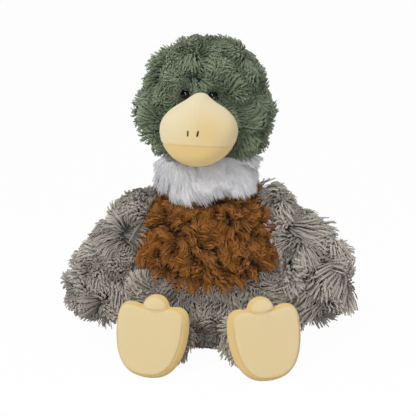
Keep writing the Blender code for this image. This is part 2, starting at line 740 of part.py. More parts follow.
def make_foot(side, tag, floor, leg_pivot):
    """A foot: sole, upper with its side band, middle toe and stuffing. Returns its form and its ankle."""
    frame = (
        Matrix.Translation((side * FOOT_SPREAD, -FOOT_FORWARD - side * FOOT_STAGGER, 0))
        @ Matrix.Rotation(side * FOOT_SPLAY, 4, "Z")
        @ Matrix.Rotation(FOOT_LEAN, 4, "X")
    )
    form = add(f"foot_{tag}_form", foot_form(f"foot_{tag}_form", GAP), frame)
    smooth(form)
    frame = Matrix.Translation(-(lowest(form) + GAP + SEAT_FLAT) * UP) @ frame
    form.matrix_world = frame
    back = frame.to_3x3() @ -FORWARD
    aim = frame @ Vector((0, 0, ANKLE_HEIGHT)) + back * FOOT_WIDTH
    ankle = surface_point(form, aim, -back) - back * GAP
    pivot = joint(f"foot_{tag}_flex", ankle, leg_pivot)

    wide = FOOT_WIDTH
    seam = FOOT_THICKNESS * (SOLE_SEAM_SHARE - 1 / 2)
    before = block("before", (-wide, -FOOT_THICKNESS, -wide), (wide, seam + GAP, 2 * wide))
    behind = block("behind", (-wide, seam, -wide), (wide, FOOT_THICKNESS, 2 * wide))
    front_cut = add(f"foot_{tag}_front_cut", before, frame)
    back_cut = add(f"foot_{tag}_back_cut", behind, frame)
    inner = add(f"foot_{tag}_inside", foot_form(f"foot_{tag}_inside", GAP - VELOUR_WALL), frame)
    smooth(inner)
    mouth_room = rod(f"foot_{tag}_mouth", LEG_RADIUS - CURLY_WALL, 0, FOOT_WIDTH)
    mouth_place = Matrix.Translation(ankle) @ Matrix.Rotation(-pi / 2, 4, "X")
    mouth = add(f"foot_{tag}_mouth", mouth_room, mouth_place)

    upper = add(f"foot_{tag}_upper", foot_form(f"foot_{tag}_upper"), frame, "cream_velour", pivot)
    smooth(upper)
    cut(upper, inner, front_cut, floor, mouth)
    sole = add(f"foot_{tag}_sole", foot_form(f"foot_{tag}_sole"), frame, "cream_velour", pivot)
    smooth(sole)
    cut(sole, inner, back_cut, floor)
    core = foot_form(f"foot_{tag}_stuffing", -VELOUR_WALL)
    smooth(add(f"foot_{tag}_stuffing", core, frame, "fibre_stuffing", pivot))

    middle = (-side * TOE_INSET, -TOE_FORWARD_SHARE * FOOT_THICKNESS, TOE_RISE)
    lobe = ball(f"foot_{tag}_toe", (TOE_WIDTH / 2, TOE_DEPTH / 2, TOE_HEIGHT / 2), SMALL_BALL_RINGS)
    toe = add(f"foot_{tag}_toe", lobe, frame @ Matrix.Translation(middle), "cream_velour", pivot)
    cut(toe, form)
    return form, ankle


def make_leg(side, tag, torso, floor):
    """A short leg from the hip seam to the back of the foot."""
    start = Vector((side * HIP_SPREAD, -2 * TORSO_DEPTH, HIP_HEIGHT))
    hip = surface_point(torso, start, -FORWARD) - GAP * FORWARD
    pivot = joint(f"leg_{tag}_swing", hip)
    foot, ankle = make_foot(side, tag, floor, pivot)
    line = ankle - hip
    way = line.normalized()
    turn = way.to_track_quat("Z", "X").to_matrix().to_4x4()
    matrix = Matrix.Translation(hip - way * LEG_ROOT) @ turn
    cutters = [torso, foot]
    wedge = half_space(f"hip_{tag}_plane", torso, hip, FORWARD)
    for number, angle in enumerate((LEG_UP, LEG_DOWN)):
        cutters.append(swung(f"hip_{tag}_plane_{number}", wedge, hip, "X", -angle))
    for number, angle in enumerate((-FOOT_FLEX, FOOT_FLEX)):
        cutters.append(swung(f"foot_leg_{tag}_{number}", foot, ankle, "X", angle))
    size = (line.length + 2 * LEG_ROOT, 2 * LEG_RADIUS, 2 * LEG_RADIUS)
    make_limb(f"leg_{tag}", size, LEG_SHARES, matrix, pivot, "grey_plush", cutters)
    return hip, ankle


def main():
    torso, neck_cut, floor = make_torso()
    make_tail(torso)
    neck_pivot = make_neck()
    make_head(neck_cut, neck_pivot)
    for side, tag in ((-1, "left"), (1, "right")):
        shoulder = make_wing(side, tag, torso, neck_cut)
        hip, ankle = make_leg(side, tag, torso, floor)
        for name, place in (("shoulder", shoulder), ("hip", hip), ("ankle", ankle)):
            print(f"{name}_{tag}: {place.x:.4f} {place.y:.4f} {place.z:.4f}")
    show_cuts()


main()
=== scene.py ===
"""The looks of a sitting plush duck: curly pile, silky ruff, velour bill and feet, glossy eyes, stitches."""

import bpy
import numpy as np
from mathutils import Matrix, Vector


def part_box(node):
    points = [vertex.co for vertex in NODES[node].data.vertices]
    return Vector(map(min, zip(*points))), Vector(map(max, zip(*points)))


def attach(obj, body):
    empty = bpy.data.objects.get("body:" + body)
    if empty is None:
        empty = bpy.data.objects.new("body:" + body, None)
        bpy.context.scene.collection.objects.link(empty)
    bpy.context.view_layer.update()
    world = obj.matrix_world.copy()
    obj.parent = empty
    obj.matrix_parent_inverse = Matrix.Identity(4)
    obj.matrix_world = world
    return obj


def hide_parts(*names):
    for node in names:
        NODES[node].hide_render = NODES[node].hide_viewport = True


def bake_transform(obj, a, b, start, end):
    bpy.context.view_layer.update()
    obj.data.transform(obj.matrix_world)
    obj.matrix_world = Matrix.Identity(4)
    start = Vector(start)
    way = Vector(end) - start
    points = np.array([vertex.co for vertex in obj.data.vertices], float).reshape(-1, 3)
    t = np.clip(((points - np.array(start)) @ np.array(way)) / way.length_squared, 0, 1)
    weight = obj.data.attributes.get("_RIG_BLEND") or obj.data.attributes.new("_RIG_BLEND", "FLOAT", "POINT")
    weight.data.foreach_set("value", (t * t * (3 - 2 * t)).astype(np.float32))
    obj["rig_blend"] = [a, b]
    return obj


bl_info = {
    "name": "Plush Duck",
    "version": (1, 0, 0),
    "blender": (4, 5, 0),
    "location": "View3D > Sidebar > Plush Duck",
    "description": "Dresses the packed plush duck in pile, velour, thread and glossy eyes",
    "category": "Object",
}

from math import cos, pi, radians, sin

import bmesh
import bpy
import numpy as np
from bpy.props import FloatProperty, FloatVectorProperty, IntProperty, PointerProperty
from bpy.types import Operator, Panel, PropertyGroup
from mathutils import Matrix, Vector
from mathutils.bvhtree import BVHTree

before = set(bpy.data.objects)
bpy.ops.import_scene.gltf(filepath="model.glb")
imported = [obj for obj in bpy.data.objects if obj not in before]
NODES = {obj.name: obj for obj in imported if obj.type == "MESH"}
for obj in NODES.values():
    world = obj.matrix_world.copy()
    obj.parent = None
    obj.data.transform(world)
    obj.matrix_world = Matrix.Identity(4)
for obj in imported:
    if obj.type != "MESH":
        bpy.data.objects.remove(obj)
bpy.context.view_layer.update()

BAKE_MAP = "OFBake"
VECTOR = "FLOAT_VECTOR"
SIDES = (("left", -1), ("right", 1))


# Property groups


def size(name, default, words):
    return FloatProperty(
        name=name, description=words, default=default, min=0, precision=4, subtype="DISTANCE", unit="LENGTH"
    )


def share(name, default, words):
    return FloatProperty(
        name=name, description=words, default=default, soft_min=0, soft_max=1, subtype="FACTOR"
    )


def angle(name, default, words):
    return FloatProperty(name=name, description=words, default=default, subtype="ANGLE", unit="ROTATION")


def colour(name, default, words):
    return FloatVectorProperty(
        name=name, description=words, default=default, min=0, max=1, size=3, subtype="COLOR"
    )


def count(name, default, words):
    return IntProperty(name=name, description=words, default=default, min=1)


PILE_FIELDS = (
    ("length", size, "Length of a strand"),
    ("tuft", size, "How far apart the tufts stand"),
    ("lock", size, "How far apart the locks of a tuft stand"),
    ("whorl", size, "How far apart the whorls stand, or 0 for none"),
    ("width", size, "Half the width of a strand"),
    ("taper", share, "How wide a strand stays at its tip"),
    ("lean", share, "How far the tufts lean along the cloth"),
    ("spread", share, "How far a tuft fans out"),
    ("gather", share, "How far a lock draws together at its tip"),
    ("level", share, "How evenly a tuft's locks end"),
    ("stray", share, "How far the tufts stray from their way"),
    ("curl", size, "How wide a lock curls"),
    ("depth", size, "How thick the pile lies"),
    ("dome", share, "How far the pile dips between tufts"),
    ("bunch", share, "How far a tuft draws together at its tip"),
    # Painted shade: each pile's root colour is far darker than its tip, standing in for the shade deep in the
    # pile.
    ("root", colour, "Colour at the root"),
    ("tip", colour, "Colour at the tip"),
)


def pile_fields(strands, **values):
    """The properties of one kind of pile. What isn't given is 0."""
    fields = {"strands": count("Strands", strands, "How many strands this pile has")}
    for key, kind, words in PILE_FIELDS:
        fields[key] = kind(key.capitalize(), values.get(key, 0.0), words)
    return fields


class HeadPile(PropertyGroup):
    __annotations__ = pile_fields(
        23500, length=0.0190, tuft=0.0120, lock=0.0016, whorl=0.032, width=0.00050, taper=0.85, lean=1.05,
        spread=0.80, gather=0.50, level=0.70, stray=0.55, curl=0.0010, depth=0.0160, dome=0.62,
        root=(0.055, 0.080, 0.045), tip=(0.345, 0.412, 0.276),
    )


class ChestPile(PropertyGroup):
    __annotations__ = pile_fields(
        11500, length=0.0142, tuft=0.0065, lock=0.0018, whorl=0.030, width=0.00041, taper=0.45, lean=1.60,
        spread=0.30, gather=0.38, level=0.75, stray=0.35, curl=0.0015, depth=0.0102, dome=0.60, bunch=0.16,
        root=(0.055, 0.019, 0.005), tip=(0.625, 0.262, 0.066),
    )


class BodyPile(PropertyGroup):
    __annotations__ = pile_fields(
        12800, length=0.0165, tuft=0.0120, lock=0.0018, whorl=0.036, width=0.00056, taper=0.95, lean=1.05,
        spread=0.85, gather=0.50, level=0.75, stray=0.60, curl=0.0011, depth=0.0120, dome=0.62,
        root=(0.185, 0.165, 0.145), tip=(0.650, 0.585, 0.505),
    )


class WingPile(PropertyGroup):
    __annotations__ = pile_fields(
        11000, length=0.0185, tuft=0.0130, lock=0.0018, whorl=0.040, width=0.00056, taper=0.95, lean=1.00,
        spread=0.90, gather=0.50, level=0.72, stray=0.60, curl=0.0011, depth=0.0160, dome=0.66,
        root=(0.225, 0.204, 0.182), tip=(0.690, 0.635, 0.570),
    )


class RuffPile(PropertyGroup):
    __annotations__ = pile_fields(
        13200, length=0.0220, tuft=0.0080, lock=0.0018, width=0.00033, taper=0.25, lean=3.00, spread=0.20,
        level=0.20, stray=0.09, curl=0.0008, depth=0.0130, bunch=0.04,
        root=(0.900, 0.900, 0.930), tip=(0.920, 0.920, 0.940),
    )


class VelourSettings(PropertyGroup):
    pale: colour("Pale", (0.820, 0.725, 0.490), "Colour of the upper bill and the soles")
    golden: colour("Golden", (0.790, 0.590, 0.250), "Colour of the lower bill and the feet's side bands")
    seam_width: size("Seam width", 0.0009, "How wide a sewn seam draws in")
    seam_depth: size("Seam depth", 0.00055, "How deep a sewn seam draws in")


class EyeSettings(PropertyGroup):
    radius: size("Radius", 0.0046, "Radius of an eye")
    height: size("Height", 0.0032, "How far an eye's dome stands up")
    black: colour("Black", (0.001, 0.001, 0.001), "Colour of the eyes")
    thread: colour("Thread", (0.014, 0.012, 0.011), "Colour of the nostrils' thread")


class StageSettings(PropertyGroup):
    distance: size("Camera distance", 1.03, "How far in front of the duck the camera stands")
    height: size("Camera height", 0.265, "How high the camera stands")
    pitch: angle("Camera pitch", radians(7), "How far the camera looks down")
    floor: colour("Floor", (0.90, 0.90, 0.90), "Colour of the floor and the backdrop")


class DuckSettings(PropertyGroup):
    head: PointerProperty(type=HeadPile, name="Head", description="Green curly pile")
    chest: PointerProperty(type=ChestPile, name="Chest", description="Brown curly pile")
    body: PointerProperty(type=BodyPile, name="Body", description="Grey pile of the torso, tail and legs")
    wing: PointerProperty(type=WingPile, name="Wings", description="Grey pile of the wings")
    ruff: PointerProperty(type=RuffPile, name="Ruff", description="White silky pile")
    velour: PointerProperty(type=VelourSettings, name="Velour", description="Cream velour")
    eyes: PointerProperty(type=EyeSettings, name="Eyes", description="Eyes and nostrils")
    stage: PointerProperty(type=StageSettings, name="Stage", description="Floor, lamps and camera")


# Node trees


class Nodes:
    """Adds nodes to a tree. Each call returns the new node's output socket."""

    def __init__(self, tree):
        self.tree = tree

    def add(self, kind, *values, out=0, **settings):
        node = self.tree.nodes.new(kind)
        for key, value in settings.items():
            setattr(node, key, value)
        sockets = [socket for socket in node.inputs if socket.enabled]
        for socket, value in zip(sockets, values):
            if isinstance(value, bpy.types.NodeSocket):
                self.tree.links.new(value, socket)
            elif value is not None:
                socket.default_value = value
        outputs = [socket for socket in node.outputs if socket.enabled]
        return outputs[out] if outputs else node

    def math(self, operation, *values, clamp=False):
        return self.add("ShaderNodeMath", *values, operation=operation, use_clamp=clamp)

    def plus(self, a, b):
        return self.math("ADD", a, b)

    def minus(self, a, b):
        return self.math("SUBTRACT", a, b)

    def times(self, a, b):
        return self.math("MULTIPLY", a, b)

    def over(self, a, b):
        return self.math("DIVIDE", a, b)

    def power(self, a, b):
        return self.math("POWER", a, b)

    def vector(self, operation, *values):
        return self.add("ShaderNodeVectorMath", *values, operation=operation)

    def total(self, first, *others):
        for other in others:
            first = self.vector("ADD", first, other)
        return first

    def scaled(self, vector, factor):
        node = self.tree.nodes.new("ShaderNodeVectorMath")
        node.operation = "SCALE"
        self.tree.links.new(vector, node.inputs[0])
        self.tree.links.new(factor, node.inputs["Scale"])
        return node.outputs[0]

    def mix(self, factor, a, b, kind="FLOAT"):
        return self.add("ShaderNodeMix", factor, a, b, data_type=kind)

    def named(self, name, kind="FLOAT"):
        return self.add("GeometryNodeInputNamedAttribute", name, data_type=kind)

    def store(self, geometry, name, value, kind="FLOAT", domain="POINT"):
        return self.add(
            "GeometryNodeStoreNamedAttribute", geometry, True, name, value, data_type=kind, domain=domain
        )

    def noise(self, scale, *values):
        """Noise that stays in place on the object."""
        return self.add("ShaderNodeTexNoise", self.add("ShaderNodeTexCoord", out=3), None, scale, *values)

    def ranged(self, value, *limits):
        return self.add("ShaderNodeMapRange", value, *limits)

    def shaded(self, saturation, value, base):
        return self.add("ShaderNodeHueSaturation", 0.5, saturation, value, 1.0, base)

    def share_of(self, name):
        """A value from 0 to 1 that the mesh carries by name."""
        return self.add("ShaderNodeAttribute", attribute_name=name, out=2)


PILE_INPUTS = (
    ("Strand density", "NodeSocketFloat", 100000.0),
    ("Tuft spacing", "NodeSocketFloat", 0.005),
    ("Length", "NodeSocketFloat", 0.015),
    ("Uneven", "NodeSocketFloat", 0.22),
    ("Width", "NodeSocketFloat", 0.0006),
    ("Tip share", "NodeSocketFloat", 0.30),
    ("Lean", "NodeSocketFloat", 1.0),
    ("Arch", "NodeSocketFloat", 0.55),
    ("Lock spacing", "NodeSocketFloat", 0.0024),
    ("Spread", "NodeSocketFloat", 0.8),
    ("Gather", "NodeSocketFloat", 0.7),
    ("Level", "NodeSocketFloat", 0.6),
    ("Stray", "NodeSocketFloat", 0.35),
    ("Curl", "NodeSocketFloat", 0.001),
    ("Curl turns", "NodeSocketFloat", 1.0),
    ("Frizz", "NodeSocketFloat", 0.0004),
    ("Droop", "NodeSocketFloat", 0.08),
    ("Depth", "NodeSocketFloat", 0.009),
    ("Dome", "NodeSocketFloat", 0.5),
    ("Bunch", "NodeSocketFloat", 0.0),
    ("Points", "NodeSocketInt", 4),
    ("Seed", "NodeSocketInt", 1),
    ("Material", "NodeSocketMaterial", None),
)


def pile_tree():
    """The node tree that grows tufted pile on a groomed skin.

    The skin brings two attributes: comb, the way the pile lies, and growth, a share of its length."""
    tree = bpy.data.node_groups.new("Pile", "GeometryNodeTree")
    tree.interface.new_socket("Skin", in_out="INPUT", socket_type="NodeSocketGeometry")
    for name, kind, value in PILE_INPUTS:
        socket = tree.interface.new_socket(name, in_out="INPUT", socket_type=kind)
        if value is not None:
            socket.default_value = value
    tree.interface.new_socket("Pile", in_out="OUTPUT", socket_type="NodeSocketGeometry")
    n = Nodes(tree)
    given = tree.nodes.new("NodeGroupInput").outputs
    seed = given["Seed"]
    up = n.named("up", VECTOR)

    def chance(low, high, number, kind="FLOAT"):
        return n.add("FunctionNodeRandomValue", low, high, None, n.plus(seed, number), data_type=kind)

    def scattered(method, density, offset, spacing=None):
        shifted = n.plus(seed, offset)
        node = tree.nodes.new("GeometryNodeDistributePointsOnFaces")
        node.distribute_method = method
        tree.links.new(given["Skin"], node.inputs["Mesh"])
        tree.links.new(shifted, node.inputs["Seed"])
        if method == "POISSON":
            tree.links.new(spacing, node.inputs["Distance Min"])
            tree.links.new(density, node.inputs["Density Max"])
        else:
            tree.links.new(density, node.inputs["Density"])
        return n.store(node.outputs["Points"], "up", node.outputs["Normal"], VECTOR)

    def packed(spacing):
        return n.over(3.0, n.power(spacing, 2.0))

    def taken(points, names):
        """A function that reads the nearest of the points, and their values by name."""
        nearest = n.add("GeometryNodeSampleNearest", points, position, domain="POINT")

        def read(value, kind="FLOAT"):
            return n.add("GeometryNodeSampleIndex", points, value, nearest, data_type=kind, domain="POINT")

        return [read(position, VECTOR)] + [read(n.named(name, kind), kind) for name, kind in names]

    # tufts, each with a way and a length
    position = n.add("GeometryNodeInputPosition")
    tufts = scattered("POISSON", packed(given["Tuft spacing"]), 0, given["Tuft spacing"])
    comb = n.scaled(n.named("comb", VECTOR), given["Lean"])
    stray = n.scaled(chance((-1.0,) * 3, (1.0,) * 3, 11, VECTOR), given["Stray"])
    way = n.vector("NORMALIZE", n.total(up, comb, stray))
    least = n.minus(1.0, given["Uneven"])
    most = n.plus(1.0, n.times(given["Uneven"], 0.6))
    long = n.times(given["Length"], chance(least, most, 12))
    tufts = n.store(tufts, "way", way, VECTOR)
    tufts = n.store(tufts, "long", long)
    tufts = n.store(tufts, "phase", chance(0.0, 2 * pi, 13))
    tufts = n.store(tufts, "core", position, VECTOR)
    depth = n.times(given["Depth"], chance(0.72, 1.12, 19))
    tufts = n.store(tufts, "depth", depth)
    # partly painted shade: noise patches lighten and darken whole tufts, standing in for tufts in shade,
    # mixed half and half with each tuft's own random tone
    shade_patches = n.add("ShaderNodeTexNoise", position, None, 34.0, 1.0)
    shade_patches = n.math("MULTIPLY_ADD", shade_patches, 3.2, -1.1, clamp=True)
    tufts = n.store(tufts, "tone", n.mix(0.5, chance(0.0, 1.0, 14), shade_patches))

    # locks, which fan out from their tuft's heart and end level with each other
    common = (("way", VECTOR), ("long", "FLOAT"), ("phase", "FLOAT"), ("tone", "FLOAT"))
    locks = scattered("POISSON", packed(given["Lock spacing"]), 2, given["Lock spacing"])
    heart, way, long, phase, tone, core, depth = taken(
        tufts, (*common, ("core", VECTOR), ("depth", "FLOAT"))
    )
    aside = n.vector("SUBTRACT", position, heart)
    fan = n.scaled(aside, n.over(given["Spread"], given["Tuft spacing"]))
    small = chance((-0.05,) * 3, (0.05,) * 3, 15, VECTOR)
    forward = n.vector("DOT_PRODUCT", aside, way)
    cut = n.minus(long, n.times(forward, given["Level"]))
    cut = n.times(cut, chance(0.92, 1.04, 16))
    cut = n.math("MAXIMUM", cut, n.times(long, 0.4))
    cut = n.math("MINIMUM", cut, n.times(long, 1.2))
    turned = n.plus(phase, chance(-0.25, 0.25, 17))
    tinted = n.mix(0.4, tone, chance(0.0, 1.0, 18))
    fanned = n.vector("NORMALIZE", n.total(way, fan, small))

    # the pile's surface is a dome over each tuft; the share of depth left at each lock is also kept as lit,
    # which the map below uses to darken tips in the dips between tufts as painted shade
    apart = n.over(n.vector("LENGTH", aside), given["Tuft spacing"])
    sunken = n.math("MINIMUM", n.power(n.times(apart, 1.6), 2.0), 1.0)
    left = n.minus(1.0, n.times(given["Dome"], sunken))
    steep = n.math("MAXIMUM", n.vector("DOT_PRODUCT", fanned, up), 0.2)
    cut = n.math("MINIMUM", cut, n.over(n.times(depth, left), steep))
    locks = n.store(locks, "new_way", fanned, VECTOR)
    locks = n.store(locks, "new_long", cut)
    locks = n.store(locks, "new_phase", turned)
    locks = n.store(locks, "new_tone", tinted)
    locks = n.store(locks, "new_core", core, VECTOR)
    locks = n.store(locks, "new_lit", left)

    # strands, each of which takes after its nearest lock
    strands = scattered("RANDOM", given["Strand density"], 1)
    carried = (*common, ("core", VECTOR), ("lit", "FLOAT"))
    read = taken(locks, [("new_" + name, kind) for name, kind in carried])
    strands = n.store(strands, "heart", read[0], VECTOR)
    for (name, kind), value in zip(carried, read[1:]):
        strands = n.store(strands, name, value, kind)
    strands = n.store(strands, "root", position, VECTOR)
    strands = n.store(strands, "own", chance(0.0, 1.0, 21))
    fizz = chance((-1.0,) * 3, (1.0,) * 3, 22, VECTOR)
    strands = n.store(strands, "frizz", fizz, VECTOR)

    line = n.add("GeometryNodeCurvePrimitiveLine", (0, 0, 0), (0, 0, 0.001))
    line = n.add("GeometryNodeResampleCurve", line, True, given["Points"])
    curves = n.add("GeometryNodeInstanceOnPoints", strands, True, line)
    curves = n.add("GeometryNodeRealizeInstances", curves)

    # each strand's path
    t = n.add("GeometryNodeSplineParameter")
    root = n.named("root", VECTOR)
    way = n.named("way", VECTOR)
    own = n.named("own")
    behind = n.vector("SUBTRACT", n.named("heart", VECTOR), root)
    long = n.times(n.named("long"), n.minus(1.0, n.times(own, 0.09)))
    long = n.times(long, n.named("growth"))

    reach = n.scaled(way, n.times(long, t))
    rise = n.times(given["Arch"], n.minus(t, n.power(t, 2.0)))
    rise = n.scaled(up, n.times(long, rise))
    fall = n.times(n.times(given["Droop"], long), n.power(t, 2.0))
    fall = n.add("ShaderNodeCombineXYZ", 0.0, 0.0, n.times(fall, -1.0))
    across = n.vector("NORMALIZE", n.vector("CROSS_PRODUCT", way, up))
    beside = n.vector("CROSS_PRODUCT", way, across)
    phase = n.named("phase")
    turn = n.plus(phase, n.times(t, n.times(given["Curl turns"], 2 * pi)))
    curl_x = n.times(given["Curl"], n.minus(n.math("COSINE", turn), n.math("COSINE", phase)))
    curl_y = n.times(given["Curl"], n.minus(n.math("SINE", turn), n.math("SINE", phase)))
    curl = n.total(n.scaled(across, curl_x), n.scaled(beside, curl_y))
    wild = n.scaled(n.named("frizz", VECTOR), n.times(given["Frizz"], t))
    drawn = n.times(given["Gather"], n.power(t, 0.8))
    inward = n.scaled(behind, drawn)
    home = n.vector("SUBTRACT", n.named("core", VECTOR), root)
    bunched = n.scaled(home, n.times(given["Bunch"], n.power(t, 0.8)))
    sunk = n.scaled(up, n.minus(0.0, given["Width"]))
    path = n.total(root, sunk, reach, rise, fall, curl, wild, inward, bunched)
    curves = n.add("GeometryNodeSetPosition", curves, True, path)

    curves = n.store(curves, "along", t)
    taper = n.mix(n.power(t, 2.0), 1.0, given["Tip share"])
    ring = n.add("GeometryNodeCurvePrimitiveCircle", 3, given["Width"], mode="RADIUS")
    hair = n.add("GeometryNodeCurveToMesh", curves, ring, taper, True)

    # the map that the material reads: tone across, root to tip upwards; a strand's tip reaches less far up
    # when it lies in a dip between tufts or grows short, so it is drawn darker, as painted shade
    side = n.over(n.math("MODULO", n.add("GeometryNodeInputIndex"), 3.0), 3.0)
    hair = n.store(hair, "side", side)
    mixed = n.mix(0.35, n.named("tone"), own)
    u = n.plus(n.times(mixed, 0.95), n.times(n.named("side"), 0.03))
    # painted shade: lit and growth hold short and sunken tips down the ramp, towards the dark root colour
    painted_light_share = n.times(n.named("lit"), n.power(n.named("growth"), 0.5))
    v = n.times(n.named("along"), painted_light_share)
    v = n.plus(n.times(v, 0.98), 0.01)
    uv = n.add("ShaderNodeCombineXYZ", u, v, 0.0)
    hair = n.store(hair, BAKE_MAP, uv, "FLOAT2", "CORNER")
    hair = n.add("GeometryNodeSetShadeSmooth", hair, True, True)
    hair = n.add("GeometryNodeRealizeInstances", hair)
    hair = n.add("GeometryNodeSetMaterial", hair, True, given["Material"])
    tree.links.new(hair, tree.nodes.new("NodeGroupOutput").inputs["Pile"])
    return tree


def shader(name, roughness, sheen, specular):
    """A new material: its nodes, and a function that sets or links an input of its Principled shader."""
    made = bpy.data.materials.new(name)
    made.use_nodes = True
    inputs = made.node_tree.nodes["Principled BSDF"].inputs

    def give(key, value):
        if isinstance(value, bpy.types.NodeSocket):
            made.node_tree.links.new(value, inputs[key])
        else:
            inputs[key].default_value = value

    give("Roughness", roughness)
    give("Sheen Weight", sheen)
    give("Sheen Roughness", 0.45)
    give("Diffuse Roughness", 0.8 if roughness > 0.5 else 0.0)
    give("Specular IOR Level", specular)
    return made, Nodes(made.node_tree), give


def pile_material(name, root, tip, sheen=0.12, spread=0.30):
    """Pile that is dark at its root and pale at its tip, each strand in a tone of its own."""
    made, n, give = shader(name, 0.85, sheen, 0.2)
    place = n.add("ShaderNodeSeparateXYZ", n.add("ShaderNodeUVMap", uv_map=BAKE_MAP))
    tone, along = place.node.outputs["X"], place.node.outputs["Y"]
    # painted shade: the ramp runs from the dark root colour, the shade deep in the pile, to the pale tip
    ramp = n.add("ShaderNodeValToRGB", along)
    stops = ramp.node.color_ramp.elements
    stops[0].color = (*root, 1)
    stops[1].color = (*tip, 1)
    stops[1].position = 0.92
    middle = stops.new(0.50)
    middle.color = (*(np.array(root) * 0.42 + np.array(tip) * 0.58), 1)
    value = n.ranged(tone, 0.0, 1.0, 1 - spread, 1 + spread)
    saturation = n.ranged(tone, 0.0, 1.0, 1.12, 0.90)
    give("Base Color", n.shaded(saturation, value, ramp))
    return made


def backing_material(name, shade, panel=None):
    """The knitted backing under the pile, with its nap in shadow, and a panel of another colour."""
    made, n, give = shader(name, 0.95, 0.1, 0.1)
    cells = n.noise(420.0, 3.0)
    base = (*shade, 1)
    if panel is not None:
        base = n.mix(n.share_of("panel"), base, (*panel, 1), "RGBA")
    give("Base Color", n.shaded(1.0, n.ranged(cells, 0.3, 0.7, 0.8, 1.2), base))
    give("Normal", n.add("ShaderNodeBump", 0.6, 0.0006, None, cells))
    return made


def velour_material(pale, golden):
    """Short-napped cream velour: pale and golden panels, darker seams, soft brush marks."""
    made, n, give = shader("duck_velour", 0.9, 0.10, 0.15)
    brushed = n.noise(55.0, 3.0, 0.6)
    nap = n.noise(480.0, 3.0, 0.7)
    base = n.mix(n.share_of("golden"), (*pale, 1), (*golden, 1), "RGBA")
    # seams in a darker colour of their own; the seam share also holds the toe's crease, darkened as painted
    # shade
    seam_and_crease_shade = (golden[0] * 0.86, golden[1] * 0.78, golden[2] * 0.90, 1)
    base = n.mix(n.times(n.share_of("seam"), 0.55), base, seam_and_crease_shade, "RGBA")
    value = n.times(n.ranged(brushed, 0.25, 0.75, 0.91, 1.07), n.ranged(nap, 0.3, 0.7, 0.90, 1.10))
    give("Base Color", n.shaded(1.0, value, base))
    height = n.plus(n.times(brushed, 0.5), n.times(nap, 0.5))
    give("Normal", n.add("ShaderNodeBump", 0.35, 0.0004, None, height))
    return made


def gloss_material(name, shade, roughness):
    """Polished plastic with the faintest wear."""
    made, n, give = shader(name, roughness, 0.0, 0.35)
    give("Roughness", n.ranged(n.noise(900.0, 2.0), 0.3, 0.8, roughness * 0.7, roughness * 1.6))
    give("Base Color", (*shade, 1))
    return made


def thread_material(name, shade):
    """Twisted thread."""
    made, n, give = shader(name, 0.55, 0.2, 0.4)
    turned = n.add("ShaderNodeMapping", n.add("ShaderNodeTexCoord", out=3), None, (0.6, 0.0, 0.5))
    lay = n.add("ShaderNodeTexWave", turned, 1400.0, 0.4)
    give("Base Color", n.shaded(1.0, n.ranged(lay, 0.0, 1.0, 0.6, 1.8), (*shade, 1)))
    return made


# Meshes


def add_object(name, mesh):
    thing = bpy.data.objects.new(name, mesh)
    bpy.context.scene.collection.objects.link(thing)
    return thing


def plain_mesh(thing, name):
    """Turns the object, with its modifiers, into a plain mesh under a new name."""
    graph = bpy.context.evaluated_depsgraph_get()
    graph.update()
    mesh = bpy.data.meshes.new_from_object(thing.evaluated_get(graph))
    mesh.name = name
    bpy.data.objects.remove(thing)
    return add_object(name, mesh)


def points_of(mesh):
    flat = np.empty(len(mesh.vertices) * 3)
    mesh.vertices.foreach_get("co", flat)
    return flat.reshape(-1, 3)


def normals_of(mesh):
    flat = np.empty(len(mesh.vertices) * 3)
    mesh.vertex_normals.foreach_get("vector", flat)
    return flat.reshape(-1, 3)


def set_points(mesh, points):
    mesh.vertices.foreach_set("co", points.ravel())
    mesh.update()


def write(mesh, name, values, kind="FLOAT"):
    """Stores one value, or one vector, for each vertex."""
    attribute = mesh.attributes.get(name) or mesh.attributes.new(name, kind, "POINT")
    key = "vector" if kind == VECTOR else "value"
    attribute.data.foreach_set(key, np.asarray(values, dtype=np.float32).ravel())


def smoothed(mesh, rounds, strength=0.5):
    """Evens the mesh out by moving each vertex towards the middle of its neighbours."""
    bm = bmesh.new()
    bm.from_mesh(mesh)
    for _ in range(rounds):
        bmesh.ops.smooth_vert(
            bm, verts=bm.verts, factor=strength, use_axis_x=True, use_axis_y=True, use_axis_z=True
        )
    bm.to_mesh(mesh)
    bm.free()
    mesh.update()


def remeshed(thing, cell, name, rounds):
    """Evens out the mesh of an object, with its modifiers, to one size of face."""
    voxels = thing.modifiers.new("even", "REMESH")
    voxels.mode = "VOXEL"
    voxels.voxel_size = cell
    voxels.use_smooth_shade = True
    made = plain_mesh(thing, name)
    smoothed(made.data, rounds)
    return made


def mesh_object(name, bm):
    """An object with the mesh that a bmesh holds."""
    mesh = bpy.data.meshes.new(name)
    bm.to_mesh(mesh)
    bm.free()
    return add_object(name, mesh)


def bridged(bm, rows, closed=True):
    """Joins rows of vertices with faces."""
    total = len(rows[0])
    for low, high in zip(rows, rows[1:]):
        for i in range(total if closed else total - 1):
            j = (i + 1) % total
            bm.faces.new(list(dict.fromkeys((low[i], low[j], high[j], high[i]))))


def coated(thing, material):
    """Gives the whole mesh one material."""
    thing.data.materials.clear()
    thing.data.materials.append(material)


